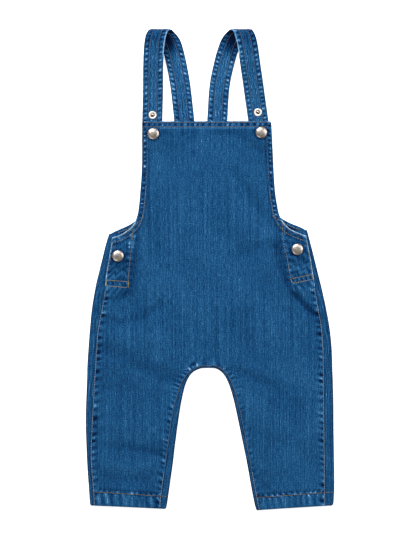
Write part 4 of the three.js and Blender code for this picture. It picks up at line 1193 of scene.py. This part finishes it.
front = cloth("front_panel_cloth", front_patches, panel_denim)
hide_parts("front_panel")

# ---------------------------------------------------------------- slit facings
# A strip of denim behind the front's edge at each side slit. It follows the front's own rows, moved
# in by the front's cloth and a small gap, and carries the press stud's inner parts.
slit_rows = (left[:, 1] < FACING_TOP) & (np.arange(len(left)) <= len(front_bib_steps) + 60 / ROW)
slit_rows &= left[:, 1] > SLIT_FOOT - 0.5
for name, half, column_way in [("left", left_half, 1), ("right", right_half, -1)]:
    xy = half[slit_rows][:, : len(FRONT_EDGE_COLUMNS)][:, ::column_way]
    z, wear_and_shade, wall = front_surface(xy[..., 0], xy[..., 1])
    slope = np.stack([-np.gradient(z, axis=0), -np.gradient(z, axis=1)], axis=-1)
    z = z - wall - SEAM_GAP - 0.15 * np.abs(slope).max(axis=-1)
    part = patch(np.dstack([xy, z]), xy, CLOTH, 0 * wear_and_shade)
    facing = cloth(f"side_facing_{name}_cloth", [part], panel_denim)
    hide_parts(f"side_facing_{name}")

# ---------------------------------------------------------------- stitching
# Sewn at three millimetres to the stitch: golden brown thread on the slits and armholes, a darker one
# at the hems, darkened with painted shade round its stitches, a dull brown one on the straps, the bib's
# top and sides and the inner legs, and a pale tan one down the felled side seams. Every stitch is a
# thread that dips into the cloth at both ends.
GOLD = (0.36, 0.235, 0.015)
# gold darkened with painted shade round the hem's stitches
SHADED_HEM_GOLD = (0.21, 0.14, 0.008)
BROWN = (0.125, 0.115, 0.095)
TAN = (0.38, 0.39, 0.37)


def clouded(tree, surface, place, cloud, *stops):
    """Colours the surface in soft clouds, given by scale and detail, between two tones."""
    links = [("Vector", place), ("Scale", cloud[0]), ("Detail", cloud[1])]
    noise = add_node(tree, "ShaderNodeTexNoise", links)
    ramp = add_node(tree, "ShaderNodeValToRGB", [("Fac", noise.outputs["Fac"])])
    for element, (position, tone) in zip(ramp.color_ramp.elements, stops):
        element.position, element.color = position, tone
    tree.links.new(ramp.outputs["Color"], surface.inputs["Base Color"])


def thread(name, colour):
    """Polyester thread: a smooth shine and small uneven changes of tone along it."""
    material, surface = new_material(name, Roughness=0.55, Sheen_Weight=0.1)
    tree = material.node_tree
    place = add_node(tree, "ShaderNodeTexCoord").outputs["Object"]
    dark = (*(c * 0.62 for c in colour), 1)
    light = (*(min(c * 1.3, 1) for c in colour), 1)
    clouded(tree, surface, place, (900.0, 2.0), (0.3, dark), (0.7, light))
    links = [("Vector", place), ("Scale", 1400.0), ("Distortion", 1.0)]
    plies = add_node(tree, "ShaderNodeTexWave", links, bands_direction="DIAGONAL")
    raise_surface(tree, surface, plies.outputs["Fac"], 0.4, 0.0001)
    return material


select_nothing()
bpy.ops.mesh.primitive_uv_sphere_add(segments=8, ring_count=6, radius=1)
one_stitch = bpy.context.active_object
bpy.ops.object.mode_set(mode="EDIT")
bpy.ops.mesh.select_all(action="SELECT")
bpy.ops.transform.rotate(value=math.pi / 2, orient_axis="Y", center_override=(0, 0, 0))
bpy.ops.object.mode_set(mode="OBJECT")
stitch_points = np.array([v.co for v in one_stitch.data.vertices])
stitch_faces = [list(f.vertices) for f in one_stitch.data.polygons]
bpy.data.objects.remove(one_stitch)


def joined_stitches(name, rows, material):
    """One mesh of all the stitches in rows of (middles, ways along, ways up, length, thickness)."""
    points, faces = [], []
    for middles, runs, ups, length, thick in rows:
        runs = runs - ups * (runs * ups).sum(1)[:, None]
        runs /= np.linalg.norm(runs, axis=1)[:, None]
        sides = np.cross(ups, runs)
        lengthwise = np.sign(stitch_points[:, 0]) * np.abs(stitch_points[:, 0]) ** 0.8
        dip = thick * (0.42 - 0.9 * lengthwise**2)
        shape = stitch_points * (0, thick / 2, thick / 2)
        shape += np.stack([lengthwise * length / 2, 0 * dip, dip], axis=1)
        for middle, run, side_way, up in zip(middles, runs, sides, ups):
            first = len(points) * len(stitch_points)
            points.append(middle + shape @ np.stack([run, side_way, up]))
            faces += [[corner + first for corner in face] for face in stitch_faces]
    sewn_piece(name, np.concatenate(points), faces, material)


def along_line(wanted, travelled, line):
    """Points of a line at the wanted ways along it."""
    return np.stack([np.interp(wanted, travelled, values) for values in np.transpose(line)], axis=1)


def surface_of(*objects):
    points, faces = [], []
    for o in objects:
        faces += [[corner + len(points) for corner in f.vertices] for f in o.data.polygons]
        points += [v.co * 1000 for v in o.data.vertices]
    return BVHTree.FromPolygons(points, faces)


garment_top = surface_of(front, back)
ABOVE_IT = 60
LEAST_HEIGHT = 0.3  # of the cloth under a stitch, which ends at the garment's edge
PITCH = 3.0


def sewn_row(line, pitch=PITCH, length=2.45, thick=0.5, on_table_side=False):
    """A row of stitches along a line in plan, laid on the cloth below it or on the back's outer face."""
    line = np.asarray(line, float)
    travelled = way_along(line)
    at = np.arange(pitch / 2, travelled[-1] - pitch * 0.3, pitch)
    place, ahead, behind = (along_line(at + way, travelled, line) for way in (0, 0.5, -0.5))
    middles, runs, ups = [], [], []
    for (x, y), run in zip(place, ahead - behind):
        over = Vector((x + PLACE[0], y + PLACE[1], ABOVE_IT))
        hit, normal, _, _ = garment_top.ray_cast(over, Vector((0, 0, -1)))
        if on_table_side:
            hit, normal = over.xy.to_3d() + Vector((0, 0, table_side(x, y)[0] + thick / 2)), (0, 0, -1)
        if hit is not None and (hit.z > LEAST_HEIGHT or on_table_side):
            middles.append(hit)
            runs.append((*run, 0))
            ups.append(normal)
    return np.array(middles), np.array(runs), np.array(ups), length, thick


def moved_in(line, name, distance, inner=False):
    """A line moved into the cloth by a distance, for lines that run down the garment."""
    line = np.asarray(line, float)
    run = np.gradient(line, axis=0)
    run /= np.linalg.norm(run, axis=1)[:, None]
    left_way = np.stack([-run[:, 1], run[:, 0]], axis=1)
    return line + left_way * distance * OUT[name] * (1 if inner else -1)


def part_of(row, foot, top):
    """The points of a row between two heights on the table."""
    return row[(row[:, 1] > foot) & (row[:, 1] < top)]


def add_row(rows, line, **stitches):
    rows.append(sewn_row(line, **stitches))


FINE_THREAD = 0.42
CLEAR_OF_TABLE = 0.6  # height of a strap's outer face above which its stitches are made
FAR_DOWN, FAR_UP = -300, 300
BIB_ROW_TOP = 161.5  # where the bib's rows end under its top band
BROWN_FOOT = 98  # where brown thread on the bib's sides gives way to gold
ARMHOLE_TOP = 54
INNER_LEG_TAN = -225  # where brown thread on the inner legs gives way to tan
gold_rows, hem_thread_rows, brown_rows, tan_rows = [], [], [], []
for name in OUT:
    edge_line = bib_sides[name]
    inner_row = moved_in(edge_line, name, SIDE_ROW)
    add_row(brown_rows, part_of(inner_row, BROWN_FOOT, BIB_ROW_TOP))
    add_row(gold_rows, part_of(inner_row, FAR_DOWN, BROWN_FOOT), thick=0.4)
    outer_row = moved_in(edge_line, name, 1.1)
    add_row(gold_rows, part_of(outer_row, FAR_DOWN, ARMHOLE_TOP), thick=0.36)
    add_row(gold_rows, FACING_ROWS[name], thick=FINE_THREAD)
    slit_row = moved_in(slit_lines[name], name, EDGE_ROW)
    add_row(gold_rows, part_of(slit_row, -10, 34), thick=0.3)
    for row in BOX_ROWS[name]:
        add_row(gold_rows, row, pitch=2.6, length=2.5, thick=0.62)
    (outer_top, inner_top), (outer_foot, inner_foot) = BOX_ROWS[name]
    add_row(gold_rows, [outer_top, outer_foot], pitch=2.2, length=2.2, thick=0.8)
    add_row(gold_rows, [inner_top, inner_foot], pitch=2.2, length=2.2, thick=0.95)
    add_row(hem_thread_rows, HEM_ROWS[name], length=3, thick=0.6)
    arm_row = moved_in(back_arm[name][:-1], name, 2.9)
    add_row(gold_rows, part_of(arm_row, FAR_DOWN, 62), thick=FINE_THREAD)
    side_line = moved_in(seam_lines[f"side_{name}"], name, 0.7)
    add_row(tan_rows, part_of(side_line, FAR_DOWN, -18), pitch=2.9, length=2.7, thick=0.38)
    inner_line = moved_in(seam_lines[f"inner_{name}"], name, 0.7, inner=True)
    lower_leg = inner_line[:, 1] < INNER_LEG_TAN
    add_row(brown_rows, inner_line[~lower_leg], pitch=2.9, length=2.7)
    add_row(tan_rows, inner_line[lower_leg], pitch=2.9, length=2.7, thick=0.4)
top_left, top_right = np.array(BIB_EDGE[0][:2]), np.array(BIB_EDGE[0][2:])
for down in (EDGE_ROW, BAND_ROW):
    top_row = [top_left + (2, -down), top_right + (-2, -down)]
    add_row(brown_rows, top_row, pitch=2.6, length=2.75, thick=0.66)

# The rows that show on the back's outer face
for name in OUT:
    hem_row = np.array(HEM_ROWS[name]) - [(5 * OUT[name], 0), (-5 * OUT[name], 0)]
    add_row(hem_thread_rows, hem_row, length=3, thick=0.5, on_table_side=True)
    for distance in (EDGE_ROW, BAND_ROW):
        arm_row = moved_in(back_arm[name][:-1], name, distance)
        add_row(gold_rows, part_of(arm_row, 48, FAR_UP), thick=FINE_THREAD, on_table_side=True)
    root_x = np.interp(120, [row[0] for row in STRAPS[name][:2]], [row[2] for row in STRAPS[name][:2]])
    box = np.array([(-8, 112), (8, 112), (8, 130), (-8, 130), (-8, 112)]) + (root_x, 0)
    for corners in (box, box[[0, 2]], box[[1, 3]]):
        add_row(gold_rows, corners, thick=FINE_THREAD, on_table_side=True)
back_top_left, back_top_right = np.array(BACK_BIB_EDGE[0][:2]), np.array(BACK_BIB_EDGE[0][2:])
for down in (EDGE_ROW, BAND_ROW):
    back_top_row = [back_top_left + (3, -down), back_top_right + (-3, -down)]
    add_row(brown_rows, back_top_row, on_table_side=True)

for name in OUT:
    path = curve(STRAPS[name])
    fine_steps = even_steps(path, 0.5)
    at, looks, widened = strap_frame(path, fine_steps)
    along = way_along(at)
    wanted = np.arange(2, along[-1] - 2, PITCH)
    look = along_line(wanted, along, looks)
    for across in (-STRAP_ROW, STRAP_ROW):
        for face, seed, deep in [(1, 0, 0), (-1, INNER_FACE, STRAP_CLOTH)]:
            relief, _ = strap_relief(0 * wanted + across, wanted, STRAP_DENIM_SEED[name] + seed)
            middle = along_line(wanted, along, at)
            middle[:, 0] += across * np.interp(wanted, along, widened)
            middle += look * (face * relief - deep)[:, None]
            run = np.gradient(middle, axis=0)
            clear = (face < 0) | (middle[:, 2] > CLEAR_OF_TABLE)
            middle = middle + PLACE
            brown_rows.append((middle[clear], run[clear], (look * face)[clear], 2.8, 0.5))

threads = {
    "gold": (gold_rows, GOLD),
    "hem": (hem_thread_rows, SHADED_HEM_GOLD),
    "brown": (brown_rows, BROWN),
    "tan": (tan_rows, TAN),
}
for name, (rows, colour) in threads.items():
    joined_stitches(f"{name}_stitching", rows, thread(f"{name}_thread", colour))

# ---------------------------------------------------------------- press studs
# Domed caps of brushed, darkened silver on the front, and on each strap a bright stud that is
# left open. The studs that the caps are pressed on stay under the cloth as they are.
CAP_RADIUS = 6.45
CAP_HEIGHT = 2.4
STUD_RADIUS = 4.45
STUD_HEIGHT = 2.0


def silver(name, dark, light, roughness, grain, metallic=1.0):
    """Plated brass: tone and shine vary a little, with fine brush marks."""
    material, surface = new_material(name, Metallic=metallic)
    tree = material.node_tree
    place = add_node(tree, "ShaderNodeTexCoord").outputs["Object"]
    clouded(tree, surface, place, (320.0, 4.0), (0.35, dark), (0.65, light))
    brushed = add_node(tree, "ShaderNodeMapping", [("Vector", place), ("Scale", (5000, 700, 700))])
    links = [("Vector", brushed.outputs[0]), ("Scale", 1.0), ("Detail", 3.0)]
    marks = add_node(tree, "ShaderNodeTexNoise", links).outputs["Fac"]
    links = [("Value", marks), ("To Min", roughness - 0.06), ("To Max", roughness + 0.1)]
    shine = add_node(tree, "ShaderNodeMapRange", links)
    tree.links.new(shine.outputs["Result"], surface.inputs["Roughness"])
    raise_surface(tree, surface, marks, grain, 0.00003)
    return material


def turned_metal(name, profile, place, sides, material):
    """A disc drawn up ring by ring through (radius, height) steps, in millimetres."""
    select_nothing()
    centre = Vector(place) / 1000
    radius, height = profile[0]
    start = centre + Vector((0, 0, height / 1000))
    bpy.ops.mesh.primitive_circle_add(
        vertices=sides, radius=radius / 1000, fill_type="NGON", location=start
    )
    piece = bpy.context.active_object
    piece.name = name
    bpy.ops.object.mode_set(mode="EDIT")
    bpy.ops.mesh.select_all(action="SELECT")
    for next_radius, next_height in profile[1:]:
        bpy.ops.mesh.extrude_region_move(
            TRANSFORM_OT_translate={"value": (0, 0, (next_height - height) / 1000)}
        )
        ratio = next_radius / radius
        bpy.ops.transform.resize(value=(ratio, ratio, 1), center_override=centre)
        radius, height = next_radius, next_height
    bpy.ops.mesh.select_all(action="SELECT")
    bpy.ops.mesh.normals_make_consistent(inside=False)
    bpy.ops.object.mode_set(mode="OBJECT")
    bpy.ops.object.transform_apply(location=True, rotation=True, scale=True)
    bpy.ops.object.shade_smooth_by_angle(angle=math.radians(50))
    piece.data.materials.append(material)
    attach(piece, "root")
    return piece


cap_silver = silver("antique_silver", (0.33, 0.292, 0.258, 1), (0.56, 0.51, 0.465, 1), 0.35, 0.25)
ball_brass = silver("worn_brass", (0.2, 0.14, 0.1, 1), (0.6, 0.54, 0.48, 1), 0.2, 0.2)
stud_silver = silver("bright_silver", (0.82, 0.79, 0.73, 1), (0.92, 0.89, 0.83, 1), 0.3, 0.05, 0.4)
dome = [(CAP_RADIUS * math.cos(a), 0.75 + 1.65 * math.sin(a)) for a in np.linspace(0.12, 1.5, 10)]
CAP_PROFILE = [(5.9, 0), (6.3, 0.08), (CAP_RADIUS, 0.3), (CAP_RADIUS, 0.6), *dome]
STUD_PROFILE = [(4.1, 0), (4.4, 0.1), (STUD_RADIUS, 0.3), (4.3, 0.52), (4.0, 0.6)]  # rim of the ring
STUD_PROFILE += [(2.9, 0.6), (2.6, 0.5), (2.5, 0.2), (0.2, 0.2)]  # and its well
BALL_PROFILE = [(2.45, 0.2), (2.4, 0.3), (1.5, 0.34), (1.45, 0.9)]  # foot and neck
BALL_PROFILE += [(1.62, 1.1), (1.72, 1.35), (1.6, 1.62), (1.25, 1.84), (0.7, 1.97), (0.2, 2)]


def foot_of(node, height):
    """Middle of a node in plan, and the height of a piece's foot under its top, in millimetres."""
    low, high = (corner * 1000 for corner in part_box(node))
    return (*((low + high) / 2).xy, high.z - height)


for node in ("bib_cap_left", "bib_cap_right", "side_cap_left", "side_cap_right"):
    piece = turned_metal(f"{node}_dome", CAP_PROFILE, foot_of(node, CAP_HEIGHT), 56, cap_silver)
    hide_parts(node)
for node in ("spare_stud_left", "spare_stud_right"):
    foot = foot_of(node, STUD_HEIGHT)
    ring = turned_metal(f"{node}_ring", STUD_PROFILE, foot, 40, stud_silver)
    ball = turned_metal(f"{node}_ball", BALL_PROFILE, foot, 24, ball_brass)
    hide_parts(node)
for node in ("bib_stud_left", "bib_stud_right", "side_stud_left", "side_stud_right"):
    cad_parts[node].data.materials.clear()
    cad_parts[node].data.materials.append(stud_silver)
